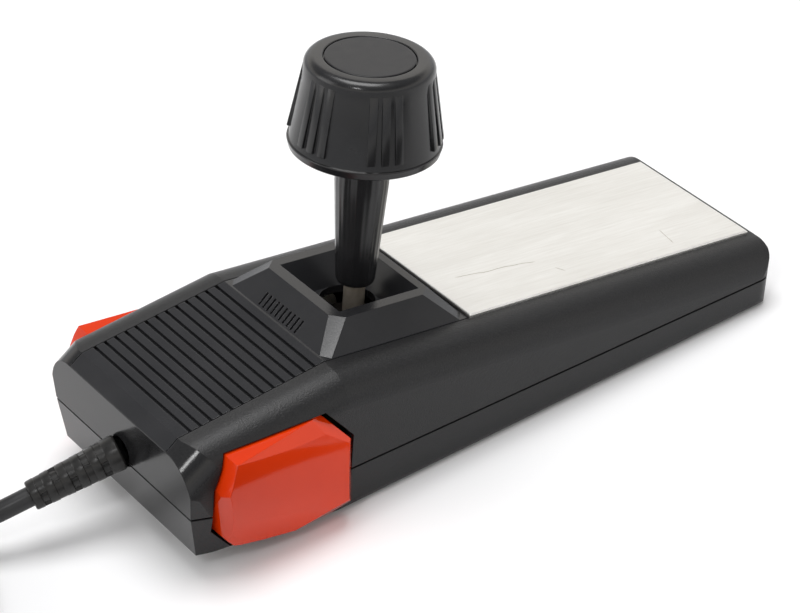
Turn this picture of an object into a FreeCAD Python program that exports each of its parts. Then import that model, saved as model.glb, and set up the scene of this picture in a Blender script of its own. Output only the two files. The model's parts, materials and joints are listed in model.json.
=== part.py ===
import FreeCAD, Part
import Sketcher
import math
import os

# One hand controller: a long two-part case with a tall stick in the middle, a fire button on
# each flank of its head, a metal plate under the palm and a lead out of its nose.
# Shapes are drawn in the case's own axes: X runs back along the top face from the stick,
# Z stands up along the stick, and the top face is at zero. The whole case then leans
# forward by the rest angle, because it rests on the flat underside of its handle.

os.makedirs("parts", exist_ok=True)
Vector = FreeCAD.Vector
doc = FreeCAD.newDocument("joystick_controller")

# Driving sizes, in millimetres and degrees
SIZES = {
    "body_width": 61.5,
    "body_rear": 105.3,
    "kink_front": 22.6,
    "panel_angle": 12.46,
    "bend_front": 61.0,
    "nose_front": 64.1,
    "nose_depth": 11.2,
    "seam_front": 62.4,
    "seam_depth": 24.6,
    "chin_front": 59.9,
    "head_depth": 35.6,
    "handle_depth": 32.0,
    "rest_angle": 9.1,
    "seam_angle": 7.6,
    "handle_seam_depth": 21.04,
    "shoulder_radius": 7.5,
    "nose_shoulder_radius": 9.0,
    "lower_edge_radius": 2.5,
    "rear_corner_radius": 4.0,
    "rear_lower_radius": 3.0,
    "corner_cut_length": 4.6,
    "corner_cut_width": 1.2,
    "corner_cut_tilt": 6.5,
    "shell_wall": 2.2,
    "seam_gap": 0.5,
    "seam_lip": 0.9,
    "insert_half_width": 20.7,
    "insert_gap": 0.3,
    "insert_thickness": 2.0,
    "insert_rear": 18.0,
    "ledge_thickness": 1.6,
    "ledge_half_width": 24.0,
    "window_front": 17.0,
    "window_rear": 13.0,
    "window_half_width": 15.4,
    "window_depth": 10.0,
    "groove_count": 13,
    "groove_pitch": 2.785,
    "groove_width": 0.85,
    "groove_depth": 0.9,
    "first_groove": 2.5,
    "collar_front": 22.0,
    "collar_rear": 17.5,
    "collar_half_width": 20.5,
    "collar_height": 6.0,
    "ridge_front": 16.0,
    "ridge_rear": 11.5,
    "ridge_half_width": 15.2,
    "collar_foot_cut_x": 1.8,
    "collar_foot_cut_y": 2.3,
    "collar_top_cut_x": 3.0,
    "collar_top_cut_y": 2.8,
    "recess_front": 12.9,
    "recess_rear": 9.4,
    "recess_half_width": 12.3,
    "stick_hole_radius": 6.7,
    "stick_hole_offset": 1.8,
    "slot_count": 10,
    "slot_pitch": 1.64,
    "slot_width": 0.7,
    "slot_length": 3.5,
    "slot_depth": 0.6,
    "plate_front": 18.3,
    "plate_length": 85.6,
    "plate_width": 42.0,
    "plate_thickness": 1.0,
    "plate_edge_radius": 0.35,
    "plate_proud": 0.8,
    "pad_thickness": 0.2,
    "pad_margin": 0.5,
    "pivot_depth": 8.5,
    "stem_radius": 2.55,
    "stem_top": 57.0,
    "hub_radius": 4.4,
    "hub_height": 6.4,
    "pin_radius": 1.0,
    "pin_clearance": 0.05,
    "ring_inner_radius": 6.2,
    "ring_outer_radius": 9.2,
    "ring_height": 3.6,
    "shaft_foot": 4.5,
    "shaft_foot_radius": 4.7,
    "shaft_waist_height": 31.0,
    "shaft_waist_radius": 6.3,
    "shaft_top": 54.0,
    "knob_foot": 39.9,
    "knob_height": 62.2,
    "knob_rim_radius": 18.0,
    "knob_rim_height": 2.0,
    "knob_foot_radius": 17.45,
    "knob_top_radius": 14.8,
    "knob_edge_drop": 2.2,
    "knob_flat_radius": 12.9,
    "knob_wall": 2.4,
    "knob_rim_step": 0.4,
    "knob_crown_width": 1.1,
    "knob_crown_drop": 0.6,
    "knob_crown_wall": 1.6,
    "knob_screw_bore_radius": 3.4,
    "knob_screw_hole_radius": 1.7,
    "knob_screw_floor": 1.8,
    "knob_boss_radius": 8.4,
    "knob_boss_foot": 44.0,
    "cap_radius": 10.5,
    "cap_thickness": 1.2,
    "cap_gap": 0.2,
    "rib_group_count": 6,
    "ribs_in_group": 3,
    "rib_spacing_angle": 10.8,
    "rib_start_angle": 10.0,
    "rib_root": 1.0,
    "rib_width": 2.1,
    "rib_foot": 43.2,
    "rib_foot_radius": 18.35,
    "rib_head": 59.3,
    "rib_head_radius": 15.45,
    "board_top_depth": 20.5,
    "board_thickness": 1.6,
    "board_front": 48.5,
    "board_rear": 24.0,
    "board_edge_margin": 2.4,
    "board_hole_radius": 4.6,
    "bracket_base": 2.0,
    "bracket_half_length": 13.5,
    "bracket_half_width": 18.5,
    "bracket_hole_radius": 11.6,
    "post_inner": 11.7,
    "post_thickness": 3.0,
    "post_half_length": 3.8,
    "bracket_screw_x": 10.5,
    "bracket_screw_y": 15.4,
    "actuator_reach": 9.0,
    "actuator_arm_width": 5.0,
    "actuator_thickness": 2.0,
    "actuator_depth": 9.1,
    "dome_radius": 2.2,
    "dome_height": 1.2,
    "dome_circle": 7.5,
    "spring_radius": 3.2,
    "spring_wire": 0.35,
    "spring_turns": 6,
    "spring_seat_height": 1.6,
    "button_front": 56.8,
    "button_rear": 21.3,
    "button_foot_depth": 34.1,
    "button_top_front_depth": 10.3,
    "button_top_rear_depth": 7.2,
    "button_proud": 2.95,
    "button_front_cut_length": 5.2,
    "button_front_cut_height": 5.3,
    "button_rear_cut_length": 3.7,
    "button_rear_cut_height": 2.9,
    "button_shoulder_length": 7.8,
    "button_shoulder_height": 7.8,
    "button_brow_length": 2.9,
    "button_brow_height": 7.8,
    "button_bevel_depth": 1.4,
    "button_bevel_side": 2.1,
    "button_bevel_height": 2.8,
    "button_cap_depth": 5.8,
    "button_gap": 0.5,
    "button_rear_gap": 1.2,
    "button_travel": 1.5,
    "button_stem_x": 39.0,
    "button_stem_depth": 17.5,
    "button_stem_radius": 2.5,
    "button_stem_length": 8.0,
    "guide_thickness": 2.5,
    "guide_half_length": 5.0,
    "guide_clearance": 0.06,
    "clip_thickness": 0.8,
    "clip_radius": 4.2,
    "button_spring_radius": 3.5,
    "button_spring_wire": 0.25,
    "button_spring_room": 2.9,
    "button_spring_turns": 2,
    "switch_length": 6.0,
    "switch_height": 6.0,
    "switch_depth": 4.1,
    "switch_plunger_length": 1.8,
    "switch_plunger_radius": 1.7,
    "screw_post_radius": 3.6,
    "screw_head_radius": 2.7,
    "screw_head_height": 1.8,
    "screw_slot": 0.7,
    "screw_shank_radius": 1.3,
    "screw_clearance": 0.2,
    "screw_floor": 4.0,
    "screw_grip": 5.0,
    "front_screw_x": 55.0,
    "front_screw_y": 20.0,
    "middle_screw_x": 36.0,
    "middle_screw_y": 24.0,
    "rear_screw_x": 91.0,
    "small_screw_radius": 1.0,
    "small_screw_head": 2.0,
    "small_screw_head_height": 1.2,
    "small_screw_slot": 0.5,
    "small_screw_length": 7.0,
    "boss_radius": 2.8,
    "board_screw_front": 30.0,
    "board_screw_rear": 21.0,
    "board_screw_y": 14.0,
    "nose_lean": 11.6,
    "relief_droop": 22.3,
    "relief_side_turn": 13.8,
    "relief_root_front": 62.75,
    "relief_root_depth": 22.9,
    "relief_length": 22.7,
    "relief_collar_length": 2.4,
    "relief_root_radius": 4.3,
    "relief_tip_radius": 3.55,
    "relief_neck_radius": 3.6,
    "relief_neck_length": 3.0,
    "relief_flange_radius": 5.2,
    "relief_flange_length": 2.4,
    "relief_groove_count": 5,
    "relief_groove_width": 1.1,
    "relief_groove_depth": 0.9,
    "relief_groove_pitch": 3.8,
    "cord_radius": 2.4,
    "inner_lead_length": 3.2,
    "wire_radius": 0.45,
    "wire_count": 6,
    "header_length": 3.0,
    "header_height": 4.0,
    "header_pitch": 2.5,
    "header_margin": 1.5,
    "coil_radius": 29.4,
    "coil_pitch": 5.5,
    "coil_layers": 4,
    "coil_layer_step": 5.25,
    "coil_layer_half_turns": 3,
    "hood_length": 32.0,
    "hood_width": 31.0,
    "hood_thickness": 15.0,
    "hood_neck_width": 12.0,
    "hood_neck_length": 9.0,
    "hood_corner_radius": 2.0,
    "plug_flange_width": 30.8,
    "plug_flange_height": 12.5,
    "plug_flange_thickness": 1.0,
    "plug_nose_width": 16.6,
    "plug_nose_height": 8.2,
    "plug_nose_length": 5.8,
    "plug_nose_wall": 0.5,
    "plug_nose_slant": 1.4,
    "contact_pitch": 2.77,
    "contact_row_gap": 2.84,
    "contact_radius": 0.95,
    "contact_bore": 0.55,
    "contact_length": 6.0,
}

sheet = doc.addObject("Spreadsheet::Sheet", "Sizes")
for row, (alias, value) in enumerate(SIZES.items(), start=1):
    sheet.set("A%d" % row, alias)
    sheet.set("B%d" % row, str(value))
    sheet.setAlias("B%d" % row, alias)
doc.recompute()


class Term:
    """A size, or a sum made of sizes, as a number and as the sheet's expression for it."""

    def __init__(self, text, value):
        self.text = text
        self.value = float(value)

    def join(self, sign, other, value):
        return Term("(%s %s %s)" % (self.text, sign, term(other).text), value)

    def __add__(self, other):
        return self.join("+", other, self.value + term(other).value)

    def __sub__(self, other):
        return self.join("-", other, self.value - term(other).value)

    def __mul__(self, other):
        return self.join("*", other, self.value * term(other).value)

    def __truediv__(self, other):
        return self.join("/", other, self.value / term(other).value)

    def __neg__(self):
        return Term("(0 - %s)" % self.text, -self.value)


def term(value):
    """Any number as a term."""
    if isinstance(value, Term):
        return value
    return Term(repr(float(value)), value)


def cell(alias):
    """A size from the sheet, to bind to."""
    return Term("Sizes.%s" % alias, sheet.get(alias))


def mm(alias):
    """A size from the sheet, as a number."""
    return float(sheet.get(alias))


parts = {}


def keep(label, thing):
    """Name a finished sub-part and put it on the list that is written out."""
    thing.Label = label
    parts[label] = thing
    return thing


def keep_shape(label, shape):
    """A sub-part whose shape is worked out here."""
    feature = doc.addObject("Part::Feature", label)
    feature.Shape = shape
    return keep(label, feature)


def bind(thing, **places):
    """Bind properties of an object to terms."""
    for name, value in places.items():
        thing.setExpression(name, term(value).text)
    return thing


def turned(label, outline):
    """A body turned about the Z axis from an outline of radius and height pairs."""
    body = doc.addObject("PartDesign::Body", label)
    sketch = body.newObject("Sketcher::SketchObject", label + "_outline")
    plane = [item for item in body.Origin.OriginFeatures if item.Role == "XZ_Plane"][0]
    sketch.AttachmentSupport = [(plane, "")]
    sketch.MapMode = "FlatFace"
    draw_outline(sketch, outline)
    doc.recompute()
    turn = body.newObject("PartDesign::Revolution", label + "_turned")
    turn.Profile = sketch
    turn.ReferenceAxis = (sketch, ["V_Axis"])
    turn.Angle = 360.0
    body.Tip = turn
    doc.recompute()
    return body


def draw_outline(sketch, outline):
    """Closed straight-sided outline whose corners are all bound to terms."""
    corners = [(term(across), term(up)) for across, up in outline]
    count = len(corners)
    for index, (across, up) in enumerate(corners):
        after = corners[(index + 1) % count]
        start = Vector(across.value, up.value, 0)
        end = Vector(after[0].value, after[1].value, 0)
        sketch.addGeometry(Part.LineSegment(start, end), False)
    for index, (across, up) in enumerate(corners):
        sketch.addConstraint(Sketcher.Constraint("Coincident", index - 1 if index else count - 1, 2, index, 1))
        place = sketch.addConstraint(Sketcher.Constraint("DistanceX", index, 1, across.value))
        sketch.setExpression("Constraints[%d]" % place, across.text)
        place = sketch.addConstraint(Sketcher.Constraint("DistanceY", index, 1, up.value))
        sketch.setExpression("Constraints[%d]" % place, up.text)


def padded(label, plane_role, outline, length, start):
    """A body padded from a bound outline, along its plane's normal, from start on."""
    body = doc.addObject("PartDesign::Body", label)
    sketch = body.newObject("Sketcher::SketchObject", label + "_outline")
    plane = [item for item in body.Origin.OriginFeatures if item.Role == plane_role][0]
    sketch.AttachmentSupport = [(plane, "")]
    sketch.MapMode = "FlatFace"
    sketch.setExpression("AttachmentOffset.Base.z", term(start).text)
    draw_outline(sketch, outline)
    doc.recompute()
    pad = body.newObject("PartDesign::Pad", label + "_pad")
    pad.Profile = sketch
    pad.setExpression("Length", term(length).text)
    body.Tip = pad
    doc.recompute()
    return body


def cylinder(label, radius, length, at, direction=Vector(0, 0, 1)):
    """A bound cylinder from one end's centre along a direction."""
    thing = doc.addObject("Part::Cylinder", label)
    bind(thing, Radius=radius, Height=length)
    turn = FreeCAD.Rotation(Vector(0, 0, 1), direction)
    thing.Placement = FreeCAD.Placement(Vector(0, 0, 0), turn)
    for axis, value in zip("xyz", at):
        thing.setExpression("Placement.Base." + axis, term(value).text)
    return thing


def block(label, low, high):
    """A bound box between two corners."""
    thing = doc.addObject("Part::Box", label)
    for name, axis, near, far in zip(("Length", "Width", "Height"), "xyz", low, high):
        thing.setExpression(name, (term(far) - term(near)).text)
        thing.setExpression("Placement.Base." + axis, term(near).text)
    return thing


def fused(label, *things):
    """One solid from several."""
    whole = doc.addObject("Part::MultiFuse", label)
    whole.Shapes = list(things)
    return whole


def cut(label, base, tool):
    """A solid with another taken out of it."""
    whole = doc.addObject("Part::Cut", label)
    whole.Base = base
    whole.Tool = tool
    return whole


def side_prism(points, half_width):
    """A flat outline in the case's side view, given as X and Z pairs, run across its width."""
    corners = [Vector(x, -half_width, z) for x, z in points]
    face = Part.Face(Part.makePolygon(corners + corners[:1]))
    return face.extrude(Vector(0, 2 * half_width, 0))


def solid_of(shape):
    """The single solid of a boolean's result."""
    tidy = shape.removeSplitter()
    return tidy.Solids[0] if len(tidy.Solids) == 1 else tidy


# Case outline. The top is level behind the kink and slopes down to the nose in front of it.
# The handle's underside is level on the table, and the head's is parallel to the top.
FAR = 400.0
panel_fall = math.tan(math.radians(mm("panel_angle")))
rest_slope = math.tan(math.radians(mm("rest_angle")))
seam_slope = math.tan(math.radians(mm("seam_angle")))
bend_point = (-mm("bend_front"), -(mm("bend_front") - mm("kink_front")) * panel_fall)
nose_point = (-mm("nose_front"), -mm("nose_depth"))
bottom_bend = (-(mm("head_depth") - mm("handle_depth")) / rest_slope, -mm("head_depth"))
seam_bend_x = -(mm("seam_depth") - mm("handle_seam_depth")) / seam_slope


def handle_bottom(x):
    """Depth of the handle's underside."""
    return -mm("handle_depth") + rest_slope * x


def bottom(x):
    """Depth of the case's underside."""
    return max(handle_bottom(x), -mm("head_depth"))


def seam(x):
    """Depth of the line where the two shells meet."""
    return max(-mm("handle_seam_depth") + seam_slope * x, -mm("seam_depth"))


def rounded_slab(point, angle, half_width, radius, side):
    """Endless bar with two rounded long edges. Its flat face passes through the point, at
    the angle to the top face, and the bar lies below it (side -1) or above it (side 1)."""
    radius = max(radius, 0.05)
    arc = radius * math.sqrt(0.5)
    low = side * FAR
    edges = []
    corners = [(-half_width, low), (-half_width, side * radius), (-half_width + radius, 0.0),
               (half_width - radius, 0.0), (half_width, side * radius), (half_width, low)]
    spots = [Vector(-FAR, y, z) for y, z in corners]
    edges.append(Part.LineSegment(spots[0], spots[1]).toShape())
    middle = Vector(-FAR, -half_width + radius - arc, side * (radius - arc))
    edges.append(Part.Arc(spots[1], middle, spots[2]).toShape())
    edges.append(Part.LineSegment(spots[2], spots[3]).toShape())
    middle = Vector(-FAR, half_width - radius + arc, side * (radius - arc))
    edges.append(Part.Arc(spots[3], middle, spots[4]).toShape())
    edges.append(Part.LineSegment(spots[4], spots[5]).toShape())
    edges.append(Part.LineSegment(spots[5], spots[0]).toShape())
    bar = Part.Face(Part.Wire(edges)).extrude(Vector(2 * FAR, 0, 0))
    bar.rotate(Vector(0, 0, 0), Vector(0, 1, 0), -math.degrees(angle))
    bar.translate(Vector(point[0], 0, point[1]))
    return bar


def cut_beyond(shape, point, normal):
    """The shape without what lies past a plane."""
    tool = Part.makeBox(FAR, FAR, FAR, Vector(-FAR / 2, -FAR / 2, 0))
    turn = FreeCAD.Rotation(Vector(0, 0, 1), normal)
    tool.Placement = FreeCAD.Placement(point, turn)
    return shape.cut(tool)


def case_form(inset):
    """The case's outer form, with every face moved in by the inset."""
    half = mm("body_width") / 2 - inset
    outline = [nose_point, bend_point, (-mm("kink_front"), 0.0), (mm("body_rear"), 0.0),
               (mm("body_rear"), handle_bottom(mm("body_rear"))), bottom_bend,
               (-mm("chin_front"), -mm("head_depth")), (-mm("seam_front"), -mm("seam_depth"))]
    corners = [Vector(x, 0, z) for x, z in outline]
    face = Part.Face(Part.makePolygon(corners + corners[:1]))
    if inset:
        face = face.makeOffset2D(-inset, 2)
        face = face.Faces[0] if face.Faces else Part.Face(face)
    face.translate(Vector(0, -half, 0))
    form = face.extrude(Vector(0, 2 * half, 0))
    rear_edges = [edge for edge in form.Edges
                  if abs(edge.CenterOfMass.x - mm("body_rear") + inset) < 0.01
                  and edge.CenterOfMass.z < handle_bottom(mm("body_rear")) + inset + 1.0
                  and abs(edge.CenterOfMass.y) < 0.01]
    form = form.makeFillet(max(mm("rear_lower_radius") - inset, 0.3), rear_edges)
    shoulder = mm("shoulder_radius") - inset
    lower_edge = mm("lower_edge_radius") - inset
    bevel_angle = math.atan2(bend_point[1] - nose_point[1], bend_point[0] - nose_point[0])
    panel = math.radians(mm("panel_angle"))
    rest = math.radians(mm("rest_angle"))
    nose_shoulder = mm("nose_shoulder_radius") - inset
    slabs = [((0.0, -inset), 0.0, shoulder, -1),
             (moved((-mm("kink_front"), 0.0), panel, -inset), panel, shoulder, -1),
             (moved(nose_point, bevel_angle, -inset), bevel_angle, nose_shoulder, -1),
             ((0.0, -mm("head_depth") + inset), 0.0, lower_edge, 1),
             (moved((0.0, -mm("handle_depth")), rest, inset), rest, lower_edge, 1)]
    for point, angle, radius, side in slabs:
        form = form.common(rounded_slab(point, angle, half, radius, side))
    lean = math.atan2(mm("nose_front") - mm("chin_front"), mm("head_depth") - mm("nose_depth"))
    cut_angle = math.atan2(mm("corner_cut_width"), mm("corner_cut_length"))
    widening = math.tan(math.radians(mm("corner_cut_tilt"))) * math.cos(cut_angle)
    for side in (-1, 1):
        normal = Vector(-math.sin(cut_angle) * math.cos(lean), side * math.cos(cut_angle),
                        -math.sin(cut_angle) * math.sin(lean) - widening).normalize()
        corner = Vector(-mm("seam_front") + mm("corner_cut_length"), side * mm("body_width") / 2,
                        -mm("seam_depth"))
        form = cut_beyond(form, corner - normal * inset, normal)
    rear_corner = max(mm("rear_corner_radius") - inset, 0.3)
    return form.common(rounded_end(half, mm("body_rear") - inset, rear_corner))


def moved(point, angle, distance):
    """A point in the side view moved square to a line at the angle."""
    return (point[0] - math.sin(angle) * distance, point[1] + math.cos(angle) * distance)


def rounded_end(half, rear, radius):
    """Upright bar whose two rear corners are rounded as seen from above."""
    arc = radius * math.sqrt(0.5)
    spots = [Vector(-FAR, -half, -FAR), Vector(rear - radius, -half, -FAR),
             Vector(rear, -half + radius, -FAR), Vector(rear, half - radius, -FAR),
             Vector(rear - radius, half, -FAR), Vector(-FAR, half, -FAR)]
    first = Vector(rear - radius + arc, -half + radius - arc, -FAR)
    second = Vector(rear - radius + arc, half - radius + arc, -FAR)
    edges = [Part.LineSegment(spots[0], spots[1]).toShape(),
             Part.Arc(spots[1], first, spots[2]).toShape(),
             Part.LineSegment(spots[2], spots[3]).toShape(),
             Part.Arc(spots[3], second, spots[4]).toShape(),
             Part.LineSegment(spots[4], spots[5]).toShape(),
             Part.LineSegment(spots[5], spots[0]).toShape()]
    return Part.Face(Part.Wire(edges)).extrude(Vector(0, 0, 2 * FAR))


def seam_band(low_offset, high_offset):
    """Slice of space between two lines parallel to the seam."""
    line = [(-FAR, seam(-FAR)), (seam_bend_x, -mm("seam_depth")), (FAR, seam(FAR))]
    lower = [(x, z + low_offset) for x, z in line]
    upper = [(x, z + high_offset) for x, z in reversed(line)]
    return side_prism(lower + upper, FAR)


outer_form = case_form(0.0)
inner_form = case_form(mm("shell_wall"))
skin_core = case_form(mm("seam_lip"))
hollow_case = outer_form.cut(inner_form)

# Relief line: the neck is square to the nose's front face, just above the seam, and the
# tail of the relief sags down and bends aside
nose_turn = math.radians(mm("nose_lean"))
nose_out = Vector(-math.cos(nose_turn), 0, -math.sin(nose_turn))
droop = math.radians(mm("relief_droop"))
side_turn = math.radians(mm("relief_side_turn"))
relief_out = Vector(-math.cos(droop) * math.cos(side_turn), math.cos(droop) * math.sin(side_turn),
                    -math.sin(droop))
relief_root = Vector(-mm("relief_root_front"), 0, -mm("relief_root_depth"))

# Places of the case screws: two in the head, two behind the stick, one at the rear end
case_screw_places = [(-mm("front_screw_x"), -mm("front_screw_y")),
                     (-mm("front_screw_x"), mm("front_screw_y")),
                     (mm("middle_screw_x"), -mm("middle_screw_y")),
                     (mm("middle_screw_x"), mm("middle_screw_y")),
                     (mm("rear_screw_x"), 0.0)]
board_screw_places = [(-mm("board_screw_front"), -mm("board_screw_y")),
                      (-mm("board_screw_front"), mm("board_screw_y")),
                      (mm("board_screw_rear"), -mm("board_screw_y")),
                      (mm("board_screw_rear"), mm("board_screw_y"))]
bracket_screw_places = [(x * mm("bracket_screw_x"), y * mm("bracket_screw_y"))
                        for x in (-1, 1) for y in (-1, 1)]
board_top = -mm("board_top_depth")
board_bottom = board_top - mm("board_thickness")

# Places across the case of each button's works, from its face inwards: the cap, the guide
# plate that its stem runs in, and the switch on the board
button_reach = cell("body_width") / 2 + cell("button_proud")
button_back = button_reach - cell("button_cap_depth")
stem_end = button_back - cell("button_stem_length")
guide_outer = button_back - cell("button_spring_room")
guide_inner = guide_outer - cell("guide_thickness")
switch_outer = stem_end - cell("button_travel") - cell("switch_plunger_length")
switch_inner = switch_outer - cell("switch_depth")
board_half_width = switch_outer + cell("board_edge_margin")


def upright(radius, x, y, low, high):
    """A plain upright rod."""
    return Part.makeCylinder(radius, high - low, Vector(x, y, low))


# Fire buttons: an eight-sided cap with a bevelled face, drawn in the side view
def button_outline(shrink_side, shrink_height, grow=0.0, grow_rear=0.0):
    """The cap's eight corners as X and Z pairs."""
    front = -mm("button_front")
    rear = -mm("button_rear")
    foot = -mm("button_foot_depth")
    top_front = -mm("button_top_front_depth")
    top_rear = -mm("button_top_rear_depth")
    points = [(front, foot + mm("button_front_cut_height")), (front + mm("button_front_cut_length"), foot),
              (rear - mm("button_rear_cut_length"), foot), (rear, foot + mm("button_rear_cut_height")),
              (rear, top_rear - mm("button_shoulder_height")),
              (rear - mm("button_shoulder_length"), top_rear),
              (front + mm("button_brow_length"), top_front),
              (front, top_front - mm("button_brow_height"))]
    middle_x = (front + rear) / 2
    middle_z = (foot + top_rear) / 2
    scale_x = 1 - (shrink_side - grow) / ((rear - front) / 2)
    scale_z = 1 - (shrink_height - grow) / ((top_rear - foot) / 2)
    shaped = []
    for x, z in points:
        extra = grow_rear if x > middle_x else 0.0
        shaped.append((middle_x + (x - middle_x) * scale_x + extra,
                       middle_z + (z - middle_z) * scale_z))
    return shaped


def side_plate(points, low, high):
    """An outline in the side view given a thickness from one Y to another."""
    corners = [Vector(x, low, z) for x, z in points]
    face = Part.Face(Part.makePolygon(corners + corners[:1]))
    return face.extrude(Vector(0, high - low, 0))


button_pocket_depth = button_back.value - mm("button_travel") - mm("insert_gap")
opening_outline = button_outline(0.0, 0.0, mm("button_gap"), mm("button_rear_gap") - mm("button_gap"))


def open_flanks(shape):
    """Both button openings taken out of a shell."""
    for side in (-1, 1):
        low, high = sorted((side * button_pocket_depth, side * FAR))
        shape = shape.cut(side_plate(opening_outline, low, high))
    return shape


def relief_hole():
    """The way for the strain relief's neck through the nose wall."""
    start = relief_root - nose_out * mm("relief_flange_length") * 4
    return Part.makeCylinder(mm("relief_neck_radius"), FAR / 8, start, nose_out)


def insert_underside():
    """X and Z pairs of the surface that the ribbed insert lies on, from rear to nose."""
    fall = math.radians(mm("panel_angle"))
    down = mm("insert_thickness")
    kink = (-mm("kink_front") + down * math.tan(fall / 2), -down)
    low_end_x = -mm("bend_front") + 0.6
    low_end = (low_end_x, kink[1] + (low_end_x - kink[0]) * panel_fall)
    return [(mm("insert_rear"), -down), kink, low_end]


def insert_block(side_gap, rear_gap, top):
    """Space of the insert below its top face, widened by its clearances."""
    under = insert_underside()
    rear = mm("insert_rear") + rear_gap
    points = [(rear, top), (rear, under[0][1]), under[1], under[2], nose_point]
    if top > 0:
        points += [(nose_point[0] - top, nose_point[1]), (nose_point[0] - top, top)]
    else:
        points += [bend_point, (-mm("kink_front"), 0.0)]
    return side_prism(points, mm("insert_half_width") + side_gap)


# Upper shell: screwed down over the lower one, with the insert's recess, the palm plate's
# shallow pocket, the window over the stick's works and five screw bosses inside
def upper_shell():
    under = insert_underside()
    shell = hollow_case.common(seam_band(0.0, FAR))
    deep = mm("ledge_thickness")
    ledge = side_prism([(mm("insert_rear") + deep, -deep / 2), (mm("insert_rear") + deep, under[0][1] - deep),
                        (under[1][0], under[1][1] - deep), (under[2][0], under[2][1] - deep),
                        (under[2][0], under[2][1] + deep / 2), (under[1][0], -deep / 2)],
                       mm("ledge_half_width"))
    shell = shell.fuse(ledge.common(skin_core))
    for x, y in case_screw_places:
        boss = upright(mm("screw_post_radius"), x, y, seam(x - mm("screw_post_radius")) - 1.0, 0.0)
        boss = boss.common(skin_core).common(seam_band(0.0, FAR))
        shell = shell.fuse(boss)
    shell = shell.cut(insert_block(mm("insert_gap"), mm("insert_gap"), 8.0))
    window = Part.makeBox(mm("window_front") + mm("window_rear"), 2 * mm("window_half_width"), FAR,
                          Vector(-mm("window_front"), -mm("window_half_width"), -mm("window_depth")))
    shell = shell.cut(window)
    seat = mm("plate_thickness") + mm("pad_thickness") - mm("plate_proud")
    pocket = Part.makeBox(mm("plate_length"), mm("plate_width"), FAR / 8,
                          Vector(mm("plate_front"), -mm("plate_width") / 2, -seat))
    shell = shell.cut(pocket)
    for x, y in case_screw_places:
        deepest = seam(x) - 2.0
        shell = shell.cut(upright(mm("screw_shank_radius"), x, y, deepest, seam(x) + mm("screw_grip")))
    shell = shell.cut(relief_hole())
    return solid_of(open_flanks(shell))


# Lower shell: the tray that carries the works, with posts for the case screws, bosses under
# the board, a seat for the centring spring and a guide plate behind each button
def lower_shell():
    shell = hollow_case.common(seam_band(-FAR, 0.0))
    for x, y in case_screw_places:
        post = upright(mm("screw_post_radius"), x, y, bottom(x) - 4.0, seam(x) + 4.0)
        shell = shell.fuse(post.common(skin_core).common(seam_band(-FAR, 0.0)))
    for x, y in board_screw_places + bracket_screw_places:
        shell = shell.fuse(upright(mm("boss_radius"), x, y, bottom(x) - 4.0, board_bottom).common(skin_core))
    seat_top = -mm("handle_depth") + mm("shell_wall") + mm("spring_seat_height")
    peg_radius = mm("spring_radius") - mm("spring_wire") - mm("insert_gap")
    seat = upright(mm("spring_radius") + mm("shell_wall"), 0, 0, -mm("head_depth"), seat_top)
    peg = upright(peg_radius, 0, 0, -mm("head_depth"), seat_top + 3.0)
    shell = shell.fuse(seat.fuse(peg).common(skin_core))
    for side in (-1, 1):
        low, high = sorted((side * guide_inner.value, side * guide_outer.value))
        guide = Part.makeBox(2 * mm("guide_half_length"), high - low,
                             mm("head_depth") - mm("button_stem_depth") + mm("guide_half_length"),
                             Vector(-mm("button_stem_x") - mm("guide_half_length"), low, -mm("head_depth")))
        shell = shell.fuse(guide.common(skin_core))
        bore = Part.makeCylinder(mm("button_stem_radius") + mm("guide_clearance"), 12.0,
                                 Vector(-mm("button_stem_x"), side * (guide_inner.value - 4.0),
                                        -mm("button_stem_depth")), Vector(0, side, 0))
        shell = shell.cut(bore)
    for x, y in case_screw_places:
        shank = mm("screw_shank_radius") + mm("screw_clearance")
        head = mm("screw_head_radius") + mm("screw_clearance")
        shell = shell.cut(upright(shank, x, y, bottom(x) - 4.0, seam(x) + 4.0))
        shell = shell.cut(upright(head, x, y, bottom(x) - 8.0, screw_seat(x)))
    for x, y in board_screw_places + bracket_screw_places:
        shell = shell.cut(upright(mm("small_screw_radius"), x, y, board_bottom - mm("small_screw_length"),
                                  board_bottom + 2.0))
    shell = shell.cut(relief_hole())
    shell = shell.cut(seam_band(-mm("seam_gap"), 1.0).cut(skin_core))
    return solid_of(open_flanks(shell))


def screw_seat(x):
    """Height at which a case screw's head bears, inside its counterbore."""
    return seam(x) - mm("screw_floor")


def case_screws():
    """Five pan-head screws as one group."""
    screws = []
    for x, y in case_screw_places:
        seat_height = screw_seat(x)
        head = upright(mm("screw_head_radius"), x, y, seat_height - mm("screw_head_height"), seat_height)
        reach = seam(x) + mm("screw_grip") - 0.5
        shank = upright(mm("screw_shank_radius"), x, y, seat_height - 0.5, reach)
        slot = Part.makeBox(2 * mm("screw_head_radius"), mm("screw_slot"), mm("screw_slot"),
                            Vector(x - mm("screw_head_radius"), y - mm("screw_slot") / 2,
                                   seat_height - mm("screw_head_height")))
        screws.append(solid_of(head.fuse(shank)).cut(slot).Solids[0])
    return Part.makeCompound(screws)


def small_screws(places, seat_height, length):
    """Small pan-head screws whose heads bear at one height, as one group."""
    screws = []
    for x, y in places:
        head = upright(mm("small_screw_head"), x, y, seat_height, seat_height + mm("small_screw_head_height"))
        shank = upright(mm("small_screw_radius"), x, y, seat_height - length, seat_height + 0.5)
        slot = Part.makeBox(2 * mm("small_screw_head"), mm("small_screw_slot"), mm("small_screw_slot"),
                            Vector(x - mm("small_screw_head"), y - mm("small_screw_slot") / 2,
                                   seat_height + mm("small_screw_head_height") - mm("small_screw_slot")))
        screws.append(solid_of(head.fuse(shank)).cut(slot).Solids[0])
    return Part.makeCompound(screws)


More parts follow.
